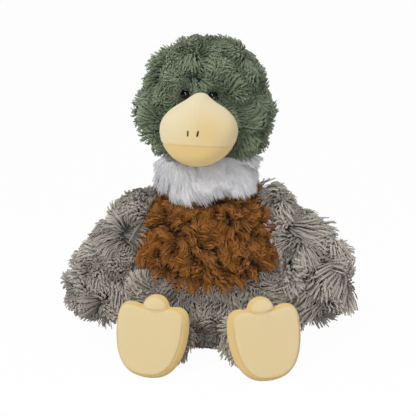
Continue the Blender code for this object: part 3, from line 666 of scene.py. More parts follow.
def skin(name, nodes, inset, cell, material, raised=()):
    """A smooth closed skin below the outer surface of CAD nodes, raised round some places.

    raised lists each place with the distances at which the rise begins and is whole."""
    bm = bmesh.new()
    for node in nodes:
        for vertex in NODES[node].data.vertices:
            bm.verts.new(vertex.co)
    hull = bmesh.ops.convex_hull(bm, input=bm.verts)
    spare = {item for key in ("geom_interior", "geom_unused") for item in hull[key]}
    spare = [item for item in spare if isinstance(item, bmesh.types.BMVert)]
    bmesh.ops.delete(bm, geom=spare, context="VERTS")
    made = remeshed(mesh_object(name + "_hull", bm), cell, name, HULL_ROUNDS)
    points = points_of(made.data)
    sunk = np.ones((len(points), 1))
    for place, outer, inner in raised:
        sunk *= 1 - RAISED_SHARE * smoothstep(outer, inner, lengths(points - np.array(place)))
    set_points(made.data, points - normals_of(made.data) * inset * sunk)
    smoothed(made.data, SKIN_ROUNDS)
    coated(made, material)
    return made


def smoothstep(low, high, value):
    t = np.clip((value - low) / (high - low), 0, 1)
    return t * t * (3 - 2 * t)


def hump(value, middle, width):
    """1 at the middle, and less further off."""
    return np.exp(-(((value - middle) / width) ** 2))


def lengths(vectors):
    return np.linalg.norm(vectors, axis=1, keepdims=True)


def far_from(points, place):
    return lengths(points - place)[:, 0]


def along_surface(vectors, normals):
    """The vectors' parts along the surface, each a unit long."""
    flat = vectors - normals * (vectors * normals).sum(1, keepdims=True)
    return flat / np.maximum(lengths(flat), 1e-9)


def laid(way, normals):
    """One way's part along the surface at each point, which fades where the surface faces that way."""
    return np.array(way) - normals * (normals @ np.array(way))[:, None]


def whorl_places(points, spacing, seed, fixed=()):
    """The whorls' places: the given ones, then others picked from the points, the spacing or more apart."""
    places = [np.array(place) for place in fixed]
    for index in np.random.default_rng(seed).permutation(len(points)):
        place = points[index]
        if all(np.linalg.norm(place - other) > spacing for other in places):
            places.append(place)
    return np.array(places)


def flow(points, normals, wave, seed):
    """A smooth random way along the surface at each point, which changes over about one wave."""
    chance = np.random.default_rng(seed)
    total = np.zeros_like(points)
    for _ in range(14):
        course = chance.normal(size=3)
        course *= 2 * pi / (np.linalg.norm(course) * wave * chance.uniform(0.7, 1.6))
        total += chance.normal(size=3) * np.sin(points @ course + chance.uniform(0, 2 * pi))[:, None]
    return along_surface(total, normals)


def groomed(skin_object, spacing, seed, fixed=(), pull=None, growth=None):
    """Writes comb and growth on a skin. The pile fans out from whorls, each with a turn of its own.

    pull changes the comb, and growth shortens the pile; each is a function of the skin's points."""
    mesh = skin_object.data
    points = points_of(mesh)
    normals = normals_of(mesh)
    comb = np.zeros_like(points)
    if spacing:
        places = whorl_places(points, spacing, seed, fixed)
        turns = np.random.default_rng(seed + 1).uniform(-0.9, 0.9, len(places))
        apart = np.linalg.norm(points[:, None] - places[None], axis=2)
        nearest = apart.argmin(1)
        offset = points - places[nearest]
        offset -= normals * (offset * normals).sum(1, keepdims=True)
        near = lengths(offset)
        fan = offset / np.maximum(near, 1e-9)
        aside = np.cross(normals, fan)
        turn = turns[nearest][:, None]
        comb = (fan * np.cos(turn) + aside * np.sin(turn)) * smoothstep(0, 0.16 * spacing, near)
    if pull:
        comb = pull(points, normals, comb)
    write(mesh, "comb", comb, VECTOR)
    # growth also darkens the tips of shorter pile, through the pile's map, as painted shade
    write(mesh, "growth", growth(points, normals) if growth else np.ones(len(points)))


def part_of(skin_object, name, chosen):
    """A copy of the faces whose middles are chosen."""
    bm = bmesh.new()
    bm.from_mesh(skin_object.data)
    spare = [face for face in bm.faces if not chosen(face.calc_center_median())]
    bmesh.ops.delete(bm, geom=spare, context="FACES")
    return mesh_object(name, bm)


KEPT_ATTRIBUTES = {
    "position", BAKE_MAP, "material_index", "sharp_face", ".edge_verts", ".corner_vert", ".corner_edge",
}
PILE_SOCKETS = {
    "Tuft spacing": "tuft", "Length": "length", "Width": "width", "Tip share": "taper", "Lean": "lean",
    "Lock spacing": "lock", "Spread": "spread", "Gather": "gather", "Level": "level", "Stray": "stray",
    "Curl": "curl", "Depth": "depth", "Dome": "dome", "Bunch": "bunch",
}


def grown(name, patch, strands, settings, material, seed, **more):
    """Grows pile on a patch of skin with the Pile tree, as a plain mesh, and removes the patch."""
    tree = bpy.data.node_groups.get("Pile") or pile_tree()
    area = sum(face.area for face in patch.data.polygons)
    modifier = patch.modifiers.new("pile", "NODES")
    modifier.node_group = tree
    values = {socket: getattr(settings, key) for socket, key in PILE_SOCKETS.items()}
    values |= {"Strand density": strands / area, "Seed": seed, "Material": material, **more}
    for socket in tree.interface.items_tree:
        if socket.item_type == "SOCKET" and socket.name in values:
            modifier[socket.identifier] = values[socket.name]
    made = plain_mesh(patch, name)
    mesh = made.data
    for attribute in [a.name for a in mesh.attributes if a.name not in KEPT_ATTRIBUTES and not a.is_internal]:
        mesh.attributes.remove(mesh.attributes[attribute])
    if len(mesh.polygons) == 0:
        raise RuntimeError(f"{name} grew no pile")
    points = points_of(mesh)
    points[:, 2] = np.maximum(points[:, 2], FLOOR_GAP)
    set_points(mesh, points)
    return made


def covered(made, parts, settings, material, seed, **more):
    """Pile on parts of a skin, each given by its name, its strands and what chooses its faces."""
    pieces = []
    for number, (name, strands, chosen) in enumerate(parts):
        patch = part_of(made, name + "_patch", chosen)
        pieces.append(grown(name, patch, strands, settings, material, seed + number, **more))
    return pieces


# How deep each skin lies under its cover, and how fine its mesh is

SKINS = {
    "head": (0.0118, 0.0030),
    "torso": (0.0085, 0.0035),
    "tail": (0.0055, 0.0025),
    "wing": (0.0090, 0.0035),
    "leg": (0.0075, 0.0030),
}
HULL_ROUNDS = 6
SKIN_ROUNDS = 4
RAISED_SHARE = 0.8
FLOOR_GAP = 0.0003
LIMB_WHORL = 0.03
TAIL_STRANDS = 2400
TAIL_PILE_LENGTH = 0.010
LEG_STRANDS = 2800
STITCH_HALF = 0.0027
THREAD_RADIUS = 0.00036


# The shapes that the bill and the feet share with the CAD model, in metres

HEAD_MIDDLE = Vector((-0.002, -0.008, 0.2495))
HEAD_FRAME = (
    Matrix.Translation(HEAD_MIDDLE)
    @ Matrix.Rotation(radians(-6.3), 4, "Z")
    @ Matrix.Rotation(radians(3), 4, "Y")
)
BILL_WIDTH = 0.0755
BILL_HEIGHT = 0.070
BILL_SHIFT = 0.0018
BILL_TOP = 0.0075
BILL_REACH = 0.112
BILL_ROOT = 0.040
BILL_TIP_DROP = 0.040
MOUTH_DROP = 0.0405
BILL_SHARES = (
    (0, 0.00), (0.52, 0.07), (0.89, 0.29), (1.02, 0.56),
    (0.78, 0.77), (0.35, 0.90), (0.15, 1.00), (0, 1.01),
)
BILL_SECTION_SHARES = ((0.00, 1.00), (0.40, 0.99), (0.66, 0.93), (0.86, 0.74), (0.97, 0.46), (1.00, 0.22))
FOOT_WIDTH = 0.0650
FOOT_LENGTH = 0.0700
FOOT_THICKNESS = 0.031
FOOT_SPREAD = 0.0525
FOOT_FORWARD = 0.145
FOOT_STAGGER = 0.005
FOOT_SPLAY = radians(13)
FOOT_LEAN = radians(-8)
FOOT_ROLL = radians(5)
FOOT_SHARES = (
    (0, 0), (0.50, 0.03), (0.85, 0.21), (1.00, 0.46), (1.02, 0.72), (0.95, 0.90), (0.66, 0.96), (0.30, 0.90),
    (0, 0.88),
)
FOOT_SECTION_SHARES = (
    (0.00, 0.50, 0.40), (0.00, 0.82, 0.70), (0.04, 0.92, 1.00), (0.10, 0.95, 0.85), (0.34, 1.02, 0.15),
    (0.58, 1.02, 0.00), (0.88, 0.86, 0.00), (1.00, 0.46, 0.00),
)
SOLE_TAPER_SHARE = 0.075
SOLE_SEAM_SHARE = 0.10
TOE_RADIUS = 0.0125
TOE_FORWARD_SHARE = 0.16
TOE_RISE = 0.0640
TOE_INSET = 0.0022
HEAD_PARTINGS = ((-0.0146, -0.0483, 0.3006), (-0.0144, -0.0621, 0.2709))
WING_PARTINGS = ((0.114, -0.045, 0.084), (0.084, -0.041, 0.116), (0.066, 0.012, 0.150))
COLLAR_RINGS = (
    (0.020, 0.037, 0.038, 0.000), (0.016, 0.043, 0.043, 0.002), (0.006, 0.045, 0.050, 0.006),
    (-0.004, 0.045, 0.054, 0.009), (-0.009, 0.042, 0.053, 0.009), (-0.011, 0.035, 0.045, 0.006),
)
CHEST_EDGE = (
    (0.0, 0.070), (0.022, 0.0735), (0.043, 0.078), (0.061, 0.086), (0.069, 0.098),
    (0.066, 0.118), (0.058, 0.138), (0.052, 0.158), (0.050, 0.180),
)
CHEST_MIDDLE = np.array((0.0, -0.075, 0.122))
SHOULDER_TOP = np.array((0.055, -0.005, 0.157))
NECK_SIDE = np.array((0.053, 0.006, 0.163))


def outline(shares, width, height):
    """A closed outline from the points up its right side, made larger by what rounding draws in."""
    drawn = 2 / 3 + cos(2 * pi / (2 * len(shares) - 2)) / 3
    right = [(wide * width / 2 / drawn, (high - 1 / 2) * height / drawn) for wide, high in shares]
    return right + [(-x, z) for x, z in reversed(right[1:-1])]


def lofted(name, rings, matrix, levels):
    """A rounded form through rings of points, in the world."""
    bm = bmesh.new()
    rows = [[bm.verts.new(matrix @ point) for point in ring] for ring in rings]
    bridged(bm, rows)
    total = len(rings[0])
    for row in (rows[0], rows[-1]):
        tip = bm.verts.new(sum((v.co for v in row), Vector()) / total)
        for i in range(total):
            bm.faces.new((row[i], row[(i + 1) % total], tip))
    bmesh.ops.recalc_face_normals(bm, faces=bm.faces)
    thing = mesh_object(name + "_cage", bm)
    rounding = thing.modifiers.new("round", "SUBSURF")
    rounding.levels = levels
    rounding.render_levels = levels
    made = plain_mesh(thing, name)
    made.data.shade_smooth()
    return made


def local(points, matrix):
    """World points in a frame's own coordinates."""
    back = np.array(matrix.inverted())
    return points @ back[:3, :3].T + back[:3, 3]


def line_distance(points, path):
    """How far each 2-D point lies from a path of straight steps."""
    best = np.full(len(points), 1e9)
    for a, b in zip(path, path[1:]):
        a = np.array(a)
        step = np.array(b) - a
        t = np.clip(((points - a) @ step) / (step @ step), 0, 1)
        best = np.minimum(best, np.linalg.norm(points - a - t[:, None] * step, axis=1))
    return best


def sewn(distance, width, depth):
    """How far a seam draws the cloth in, with the plump cloth beside it."""
    return depth * (hump(distance, 0, width) - 0.35 * hump(distance, 3 * width, 2 * width))


def measured(node):
    """A CAD node's points, their middle, and the way in which they reach furthest."""
    spots = points_of(NODES[node].data)
    middle = spots.mean(0)
    return spots, middle, np.linalg.svd(spots - middle)[2][0]


def bill_surface(context):
    return BVHTree.FromObject(bpy.data.objects["bill_velour"], context.evaluated_depsgraph_get())


def duck(context):
    return context.scene.duck_settings


def hand_over(thing, carrier, replaced=()):
    """Hides the nodes that a finished piece replaces and gives the piece what carries it.

    The carrier is a body, or two bodies and the two points between which the piece bends."""
    if replaced:
        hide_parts(*replaced)
    if isinstance(carrier, str):
        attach(thing, carrier)
    else:
        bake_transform(thing, *carrier)


# Operators


class DUCK_OT_stage(Operator):
    """Makes the floor, the backdrop, the lamps and the camera"""

    bl_idname = "duck.stage"
    bl_label = "Stage"

    def execute(self, context):
        scene = context.scene
        settings = duck(context).stage
        scene.view_settings.view_transform = "Standard"

        made, n, give = shader("stage_white", 0.9, 0.0, 0.0)
        give("Base Color", (*settings.floor, 1))
        nodes = made.node_tree.nodes
        seen = nodes.new("ShaderNodeLightPath").outputs["Is Camera Ray"]
        white = n.add("ShaderNodeEmission", (1, 1, 1, 1), 1.0)
        mixed = n.add("ShaderNodeMixShader", n.times(seen, 0.97), nodes["Principled BSDF"].outputs[0], white)
        made.node_tree.links.new(mixed, nodes["Material Output"].inputs["Surface"])

        far, wall, rise = 3.0, 1.6, 0.6
        turns = np.linspace(0.1, pi / 2, 12)
        profile = [(-far, 0.0), (wall - rise, 0.0)]
        profile += [(wall - rise + rise * sin(a), rise - rise * cos(a)) for a in turns] + [(wall, far)]
        bm = bmesh.new()
        bridged(bm, [[bm.verts.new((x, y, z)) for y, z in profile] for x in (-far, far)], closed=False)
        bmesh.ops.recalc_face_normals(bm, faces=bm.faces)
        floor = mesh_object("floor_and_backdrop", bm)
        floor.data.shade_smooth()
        coated(floor, made)

        world = bpy.data.worlds.new("studio")
        world.use_nodes = True
        w = Nodes(world.node_tree)
        way = world.node_tree.nodes.new("ShaderNodeLightPath").outputs
        background = world.node_tree.nodes["Background"]
        background.inputs["Color"].default_value = (1, 1, 1, 1)
        strength = w.mix(way["Is Camera Ray"], w.mix(way["Is Glossy Ray"], 0.36, 0.08), 1.0)
        world.node_tree.links.new(strength, background.inputs["Strength"])
        scene.world = world

        for name, place, power, width in (
            ("key_lamp", (-0.45, -1.35, 0.85), 7.6, 0.50),
            ("front_lamp", (-0.08, -1.45, 0.30), 3.1, 0.20),
            ("fill_lamp", (0.75, -1.10, 0.70), 0.9, 0.5),
            ("top_lamp", (0.00, 0.10, 1.5), 4.7, 0.9),
        ):
            lamp = bpy.data.lights.new(name, "AREA")
            lamp.energy = power
            lamp.size = width
            thing = add_object(name, lamp)
            thing.location = place
            thing.rotation_euler = (Vector((0, 0, 0.15)) - thing.location).to_track_quat("-Z", "Y").to_euler()

        view = bpy.data.cameras.new("camera")
        view.sensor_width = 36.0
        view.lens = view.sensor_width * 1000 / 416
        camera = add_object("camera", view)
        camera.location = (0, -settings.distance, settings.height)
        camera.rotation_euler = (pi / 2 - settings.pitch, 0, 0)
        scene.camera = camera
        return {"FINISHED"}


class DUCK_OT_bill(Operator):
    """Makes the velour bill with its mouth seam, centre seam and puckers"""

    bl_idname = "duck.bill"
    bl_label = "Bill"

    def execute(self, context):
        settings = duck(context).velour
        width, depth = settings.seam_width, settings.seam_depth
        shape = outline(BILL_SHARES, BILL_WIDTH, BILL_HEIGHT)
        middle = BILL_TOP - BILL_HEIGHT / 2
        rings = []
        for along, part in BILL_SECTION_SHARES:
            tip = Vector((BILL_SHIFT, -BILL_ROOT - along * (BILL_REACH - BILL_ROOT), -BILL_TIP_DROP))
            rings.append([tip + Vector((x, 0, z + middle + BILL_TIP_DROP)) * part for x, z in shape])
        made = lofted("bill_velour", rings, HEAD_FRAME, 4)
        mesh = made.data
        points = points_of(mesh)
        x, y, z = local(points, HEAD_FRAME).T
        x = x - BILL_SHIFT
        front = smoothstep(-0.052, -0.062, y)
        mouth = -MOUTH_DROP + 0.0012 * np.cos(x / 0.022)
        from_mouth = np.abs(z - mouth)
        drawn = sewn(from_mouth, width, depth) * front
        centre = np.abs(x - 0.0020 - 0.114 * z)
        drawn += 0.28 * sewn(centre, 0.6 * width, depth) * smoothstep(-0.030, -0.024, z)
        corner = smoothstep(0.016, 0.026, x) * hump(z, mouth, 0.006)
        drawn += corner * np.sin(x / 0.0011 + 900 * from_mouth) * 0.00022 * front
        dimples = np.minimum(*(np.hypot(x - spot, z + 0.0282) for spot in (0.0045, -0.0045)))
        drawn += 0.0004 * hump(dimples, 0, 0.0028) * front
        set_points(mesh, points - normals_of(mesh) * drawn[:, None])
        tint = 0.25 * smoothstep(-0.020, 0.050, x - 0.6 * (z + 0.020))
        tint += 0.50 * hump(x, 0.013, 0.015) * hump(z, -0.024, 0.013)
        tint += 0.25 * smoothstep(-0.018, -0.040, z)
        write(mesh, "golden", np.maximum(tint, 0.9 * smoothstep(0.0004, -0.0006, z - mouth)))
        write(mesh, "seam", hump(from_mouth, 0, 0.8 * width) * front)
        coated(made, velour_material(settings.pale, settings.golden))
        hand_over(made, "head", ("bill_upper", "bill_lower", "bill_stuffing"))
        return {"FINISHED"}


class DUCK_OT_feet(Operator):
    """Makes the velour feet with their soles, side bands and middle toes"""

    bl_idname = "duck.feet"
    bl_label = "Feet"

    def execute(self, context):
        settings = duck(context).velour
        width, depth = settings.seam_width, settings.seam_depth
        for tag, side in SIDES:
            matrix = (
                Matrix.Translation((side * FOOT_SPREAD, -FOOT_FORWARD - side * FOOT_STAGGER, 0))
                @ Matrix.Rotation(side * FOOT_SPLAY, 4, "Z")
                @ Matrix.Rotation(FOOT_LEAN, 4, "X")
                @ Matrix.Translation((0, 0, FOOT_LENGTH / 2))
                @ Matrix.Rotation(-side * FOOT_ROLL, 4, "Y")
                @ Matrix.Translation((0, 0, -FOOT_LENGTH / 2))
            )
            rings = []
            for along, part, taper in FOOT_SECTION_SHARES:
                ring = []
                for x, z in outline(FOOT_SHARES, FOOT_WIDTH, FOOT_LENGTH):
                    low = SOLE_TAPER_SHARE * taper * min(1, max(0, 0.75 - z / FOOT_LENGTH) / 0.75)
                    high = FOOT_LENGTH / 2 + z * part * (1 - 0.6 * low)
                    ring.append(Vector((x * part * (1 - low), (along - 1 / 2) * FOOT_THICKNESS, high)))
                rings.append(ring)
            name = f"foot_{tag}_velour"
            foot = lofted(name, rings, matrix, 3)
            lift = Matrix.Translation((0, 0, -points_of(foot.data)[:, 2].min() - 0.0005))
            matrix = lift @ matrix
            foot.data.transform(lift)

            bm = bmesh.new()
            bm.from_mesh(foot.data)
            place = (-side * TOE_INSET, -TOE_FORWARD_SHARE * FOOT_THICKNESS, TOE_RISE)
            toe = matrix @ Matrix.Translation(place)
            bmesh.ops.create_uvsphere(bm, u_segments=32, v_segments=24, radius=TOE_RADIUS, matrix=toe)
            bm.to_mesh(foot.data)
            bm.free()
            made = remeshed(foot, 0.0009, name, 5)
            mesh = made.data

            points = points_of(mesh)
            x, y, z = local(points, matrix).T
            x = x + side * TOE_INSET
            seam = (SOLE_SEAM_SHARE - 1 / 2) * FOOT_THICKNESS
            below = smoothstep(0.066, 0.056, z + 0.25 * np.abs(x))
            from_seam = np.abs(y - seam)
            drawn = sewn(from_seam, width, depth) * below
            crease = 0.0625 + 0.05 * (x / 0.009) ** 2 * 0.02
            on_front = smoothstep(-0.008, -0.012, y) * smoothstep(0.0125, 0.0085, np.abs(x))
            from_crease = np.abs(z - crease)
            drawn += on_front * (2.6 * sewn(from_crease, 1.5 * width, depth))
            drawn += on_front * np.cos(x / 0.0009) * hump(z, crease - 0.003, 0.004) * 0.00015
            heel = np.hypot(x - side * TOE_INSET, (z - 0.001) / 3)
            drawn += 0.5 * sewn(heel, 0.7 * width, depth) * smoothstep(0.012, 0.004, z)
            moved = points - normals_of(mesh) * drawn[:, None]
            moved[:, 2] = np.maximum(moved[:, 2], 0)
            set_points(mesh, moved)
            write(mesh, "golden", 0.35 + 0.65 * smoothstep(seam - 0.0006, seam + 0.0010, y))
            # painted shade: the crease under the toe joins the seam share, so it is drawn darker
            line = hump(from_crease, 0, 1.3 * width) * on_front
            write(mesh, "seam", np.maximum(hump(from_seam, 0, width) * below, line))
            coated(made, bpy.data.materials["duck_velour"])
            replaced = [f"foot_{tag}_{part}" for part in ("sole", "upper", "toe", "stuffing")]
            hand_over(made, f"foot_{tag}", replaced)
        return {"FINISHED"}


class DUCK_OT_eyes(Operator):
    """Makes the glossy eyes over their washers"""

    bl_idname = "duck.eyes"
    bl_label = "Eyes"

    def execute(self, context):
        settings = duck(context).eyes
        black = gloss_material("black_plastic", settings.black, 0.02)
        clear = gloss_material("clear_plastic", (0.60, 0.62, 0.62), 0.30)
        steps = 48
        turns = [2 * pi * k / steps for k in range(steps)]
        profile = [(settings.radius * sin(a), settings.height * cos(a)) for a in np.linspace(0, pi / 2, 20)]
        profile += [(settings.radius * 0.94, -0.0004), (0.0016, -0.0005), (0.0016, -0.011), (0, -0.011)]
        for tag, _ in SIDES:
            spots, middle, axis = measured(f"eye_{tag}")
            axis = axis if axis[1] < 0 else -axis
            apex = middle + axis * ((spots - middle) @ axis).max()
            rim = Vector(apex - axis * settings.height)
            turn = Vector(axis).to_track_quat("Z", "Y").to_matrix().to_4x4()
            bm = bmesh.new()
            rows = []
            for radius, height in profile:
                if radius < 1e-7:
                    rows.append([bm.verts.new((0, 0, height))] * steps)
                else:
                    rows.append([bm.verts.new((radius * cos(a), radius * sin(a), height)) for a in turns])
            bridged(bm, rows)
            bmesh.ops.recalc_face_normals(bm, faces=bm.faces)
            bmesh.ops.transform(bm, matrix=Matrix.Translation(rim) @ turn, verts=bm.verts)
            made = mesh_object(f"eye_{tag}_dome", bm)
            made.data.shade_smooth()
            coated(made, black)
            hand_over(made, "head", replaced=[f"eye_{tag}"])
            coated(NODES[f"eye_washer_{tag}"], clear)
        return {"FINISHED"}


class DUCK_OT_nostrils(Operator):
    """Makes the two nostril stitches from turns of black thread"""

    bl_idname = "duck.nostrils"
    bl_label = "Nostrils"

    def execute(self, context):
        thread = thread_material("black_thread", duck(context).eyes.thread)
        tree = bill_surface(context)
        steps = 14
        for tag, turns in (("left", (-0.0003, 0.0003)), ("right", (-0.00055, 0.0, 0.00055))):
            _, middle, axis = measured(f"nostril_{tag}")
            axis = Vector(axis if axis[2] > 0 else -axis)
            if tag == "left":
                axis = Vector((axis.x * 0.2, axis.y, axis.z)).normalized()
            bm = bmesh.new()
            for number, aside in enumerate(turns):
                centre = Vector(middle) + Vector((aside, 0, 0.0003 * (number - 1)))
                path = []
                for k in range(steps + 1):
                    t = 2 * k / steps - 1
                    spot = centre + axis * STITCH_HALF * t
                    hit, normal, _, _ = tree.ray_cast(spot + Vector((0, -0.02, 0)), Vector((0, 1, 0)))
                    path.append(hit + normal * (0.00045 * (1 - t ** 4) - 0.0010 * abs(t) ** 6))
                rows = []
                for k, place in enumerate(path):
                    ahead = (path[min(k + 1, steps)] - path[max(k - 1, 0)]).normalized()
                    across = ahead.cross(Vector((0, -1, 0))).normalized()
                    above = across.cross(ahead)
                    wave = 1 + 0.10 * sin(2.2 * k)
                    rows.append([
                        bm.verts.new(place + (across * cos(a) + above * sin(a)) * THREAD_RADIUS * wave)
                        for a in np.linspace(0, 2 * pi, 8, endpoint=False)
                    ])
                bridged(bm, rows)
                bm.faces.new(rows[0])
                bm.faces.new(rows[-1])
            bmesh.ops.recalc_face_normals(bm, faces=bm.faces)
            made = mesh_object(f"nostril_{tag}_stitch", bm)
            made.data.shade_smooth()
            coated(made, thread)
            hand_over(made, "head", replaced=[f"nostril_{tag}"])
        return {"FINISHED"}


class DUCK_OT_head(Operator):
    """Makes the head's skin and its green curly pile"""

    bl_idname = "duck.head"
    bl_label = "Head"

    def execute(self, context):
        settings = duck(context).head
        eyes = [points_of(bpy.data.objects[f"eye_{tag}_dome"].data)[:200].mean(0) for tag, _ in SIDES]
        # painted shade: the backing takes the root colour halved, so gaps in the pile and the short pile
        # round the eyes look dark
        backing = backing_material("green_backing", np.array(settings.root) * 0.5)
        raised = [(eye, 0.0125, 0.0070) for eye in eyes]
        made = skin("head_skin", ["head_cover"], *SKINS["head"], backing, raised)
        bill = bill_surface(context)
        bill_middle = np.array(HEAD_FRAME @ Vector((BILL_SHIFT, -0.07, -0.024)))

        def from_bill(points):
            return np.array([bill.find_nearest(Vector(point))[3] for point in points])

        def pull(points, normals, comb):
            near = smoothstep(0.028, 0.006, from_bill(points)[:, None])
            comb = 0.7 * comb + 0.5 * flow(points, normals, 0.035, 5)
            comb = comb * (1 - near) + along_surface(points - bill_middle, normals) * near
            for eye in eyes:
                close = smoothstep(0.015, 0.007, lengths(points - eye))
                comb = comb * (1 - close) + along_surface(points - eye, normals) * close
            between = (eyes[0] + eyes[1]) / 2 + np.array((0.0, 0.0, 0.010))
            fall = hump(points[:, :1], between[0], 0.005) * hump(points[:, 2:], between[2], 0.014)
            fall *= points[:, 1:2] < -0.04
            down = along_surface(np.tile((0.1, 0.0, -1.0), (len(points), 1)), normals)
            return comb * (1 - fall) + down * fall

        def growth(points, normals):
            x, z = points[:, 0], points[:, 2]
            # shorter pile along the bill, which the pile's map also draws darker: painted shade along the
            # bill's edge
            value = 0.55 + 0.45 * smoothstep(0.002, 0.010, from_bill(points))
            value *= 1 - 0.30 * smoothstep(0.60, 0.95, np.abs(normals[:, 0])) * hump(z, 0.260, 0.014)
            bulge = hump(z, 0.288, 0.014) + 0.6 * hump(z, 0.232, 0.012)
            value *= 1 + 0.30 * smoothstep(-0.025, -0.050, x) * bulge
            # short pile round each eye, which shows the dark backing and darker tips: painted shade of the
            # hollow round the eye
            for eye in eyes:
                value *= 0.10 + 0.90 * smoothstep(0.0062, 0.0150, far_from(points, eye))
            return value

        groomed(made, settings.whorl, 3, HEAD_PARTINGS, pull, growth)
        pile = pile_material("green_pile", settings.root, settings.tip)
        middle, rear = HEAD_MIDDLE.x, HEAD_MIDDLE.y + 0.018
        third = settings.strands / 3
        parts = (
            ("head_pile_left", third, lambda p: p.x < middle and p.y < rear),
            ("head_pile_right", third, lambda p: p.x >= middle and p.y < rear),
            ("head_pile_back", third, lambda p: p.y >= rear),
        )
        for piece in covered(made, parts, settings, pile, 40):
            hand_over(piece, "head")
        hand_over(made, "head", ("head_cover", "head_stuffing"))
        return {"FINISHED"}


class DUCK_OT_ruff(Operator):
    """Makes the neck's skin and the ruff of silky white locks, which bends with the neck"""

    bl_idname = "duck.ruff"
    bl_label = "Ruff"

    def execute(self, context):
        settings = duck(context).ruff
        low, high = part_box("neck_ruff")
        middle = (low + high) / 2
        turns = [2 * pi * k / 16 for k in range(16)]
        rings = [
            [Vector((wide * cos(a), deep * sin(a) - forward, height)) for a in turns]
            for height, wide, deep, forward in COLLAR_RINGS
        ]
        collar = lofted("neck_skin", rings, Matrix.Translation(middle), 2)
        coated(collar, backing_material("white_backing", settings.root))

        def pull(points, normals, comb):
            return along_surface(np.tile((0.50, 0.0, -1.0), (len(points), 1)), normals) * 0.9

        def growth(points, normals):
            x = points[:, 0]
            return 0.78 + 0.28 * (hump(x, -0.018, 0.014) + hump(x, 0.030, 0.010))

        def on_band(point):
            return middle.z - 0.0095 < point.z < middle.z + 0.019

        groomed(collar, settings.whorl, 7, pull=pull, growth=growth)
        pile = pile_material("white_pile", settings.root, settings.tip, 0.3, 0.04)
        parts = (
            ("neck_ruff_pile_front", settings.strands * 0.66, lambda p: p.y < middle.y and on_band(p)),
            ("neck_ruff_pile_back", settings.strands * 0.34, lambda p: p.y >= middle.y and on_band(p)),
        )
        more = {"Uneven": 0.24, "Arch": 0.30, "Frizz": 0.0011, "Droop": 0.15, "Curl turns": 0.6}
        pieces = covered(collar, parts, settings, pile, 60, **more)
        bend = ("torso", "neck", Vector((0, 0, 0.146)), Vector((0, 0, 0.186)))
        hand_over(collar, bend, ("neck_ruff", "neck_stuffing"))
        for piece in pieces:
            hand_over(piece, bend)
        return {"FINISHED"}


def in_chest(point):
    """Whether a point of the torso lies on its brown panel."""
    heights = [z for _, z in CHEST_EDGE]
    widths = [x for x, _ in CHEST_EDGE]
    if point.y > -0.01 or point.z < heights[0]:
        return False
    return abs(point.x) < np.interp(point.z, heights, widths)


def chest_distance(points):
    """How far each point lies from the chest panel's edge, as seen from the front."""
    path = [(-x, z) for x, z in reversed(CHEST_EDGE[1:])] + list(CHEST_EDGE)
    return line_distance(points[:, (0, 2)], path) + np.where(points[:, 1] > 0, 0.05, 0.0)


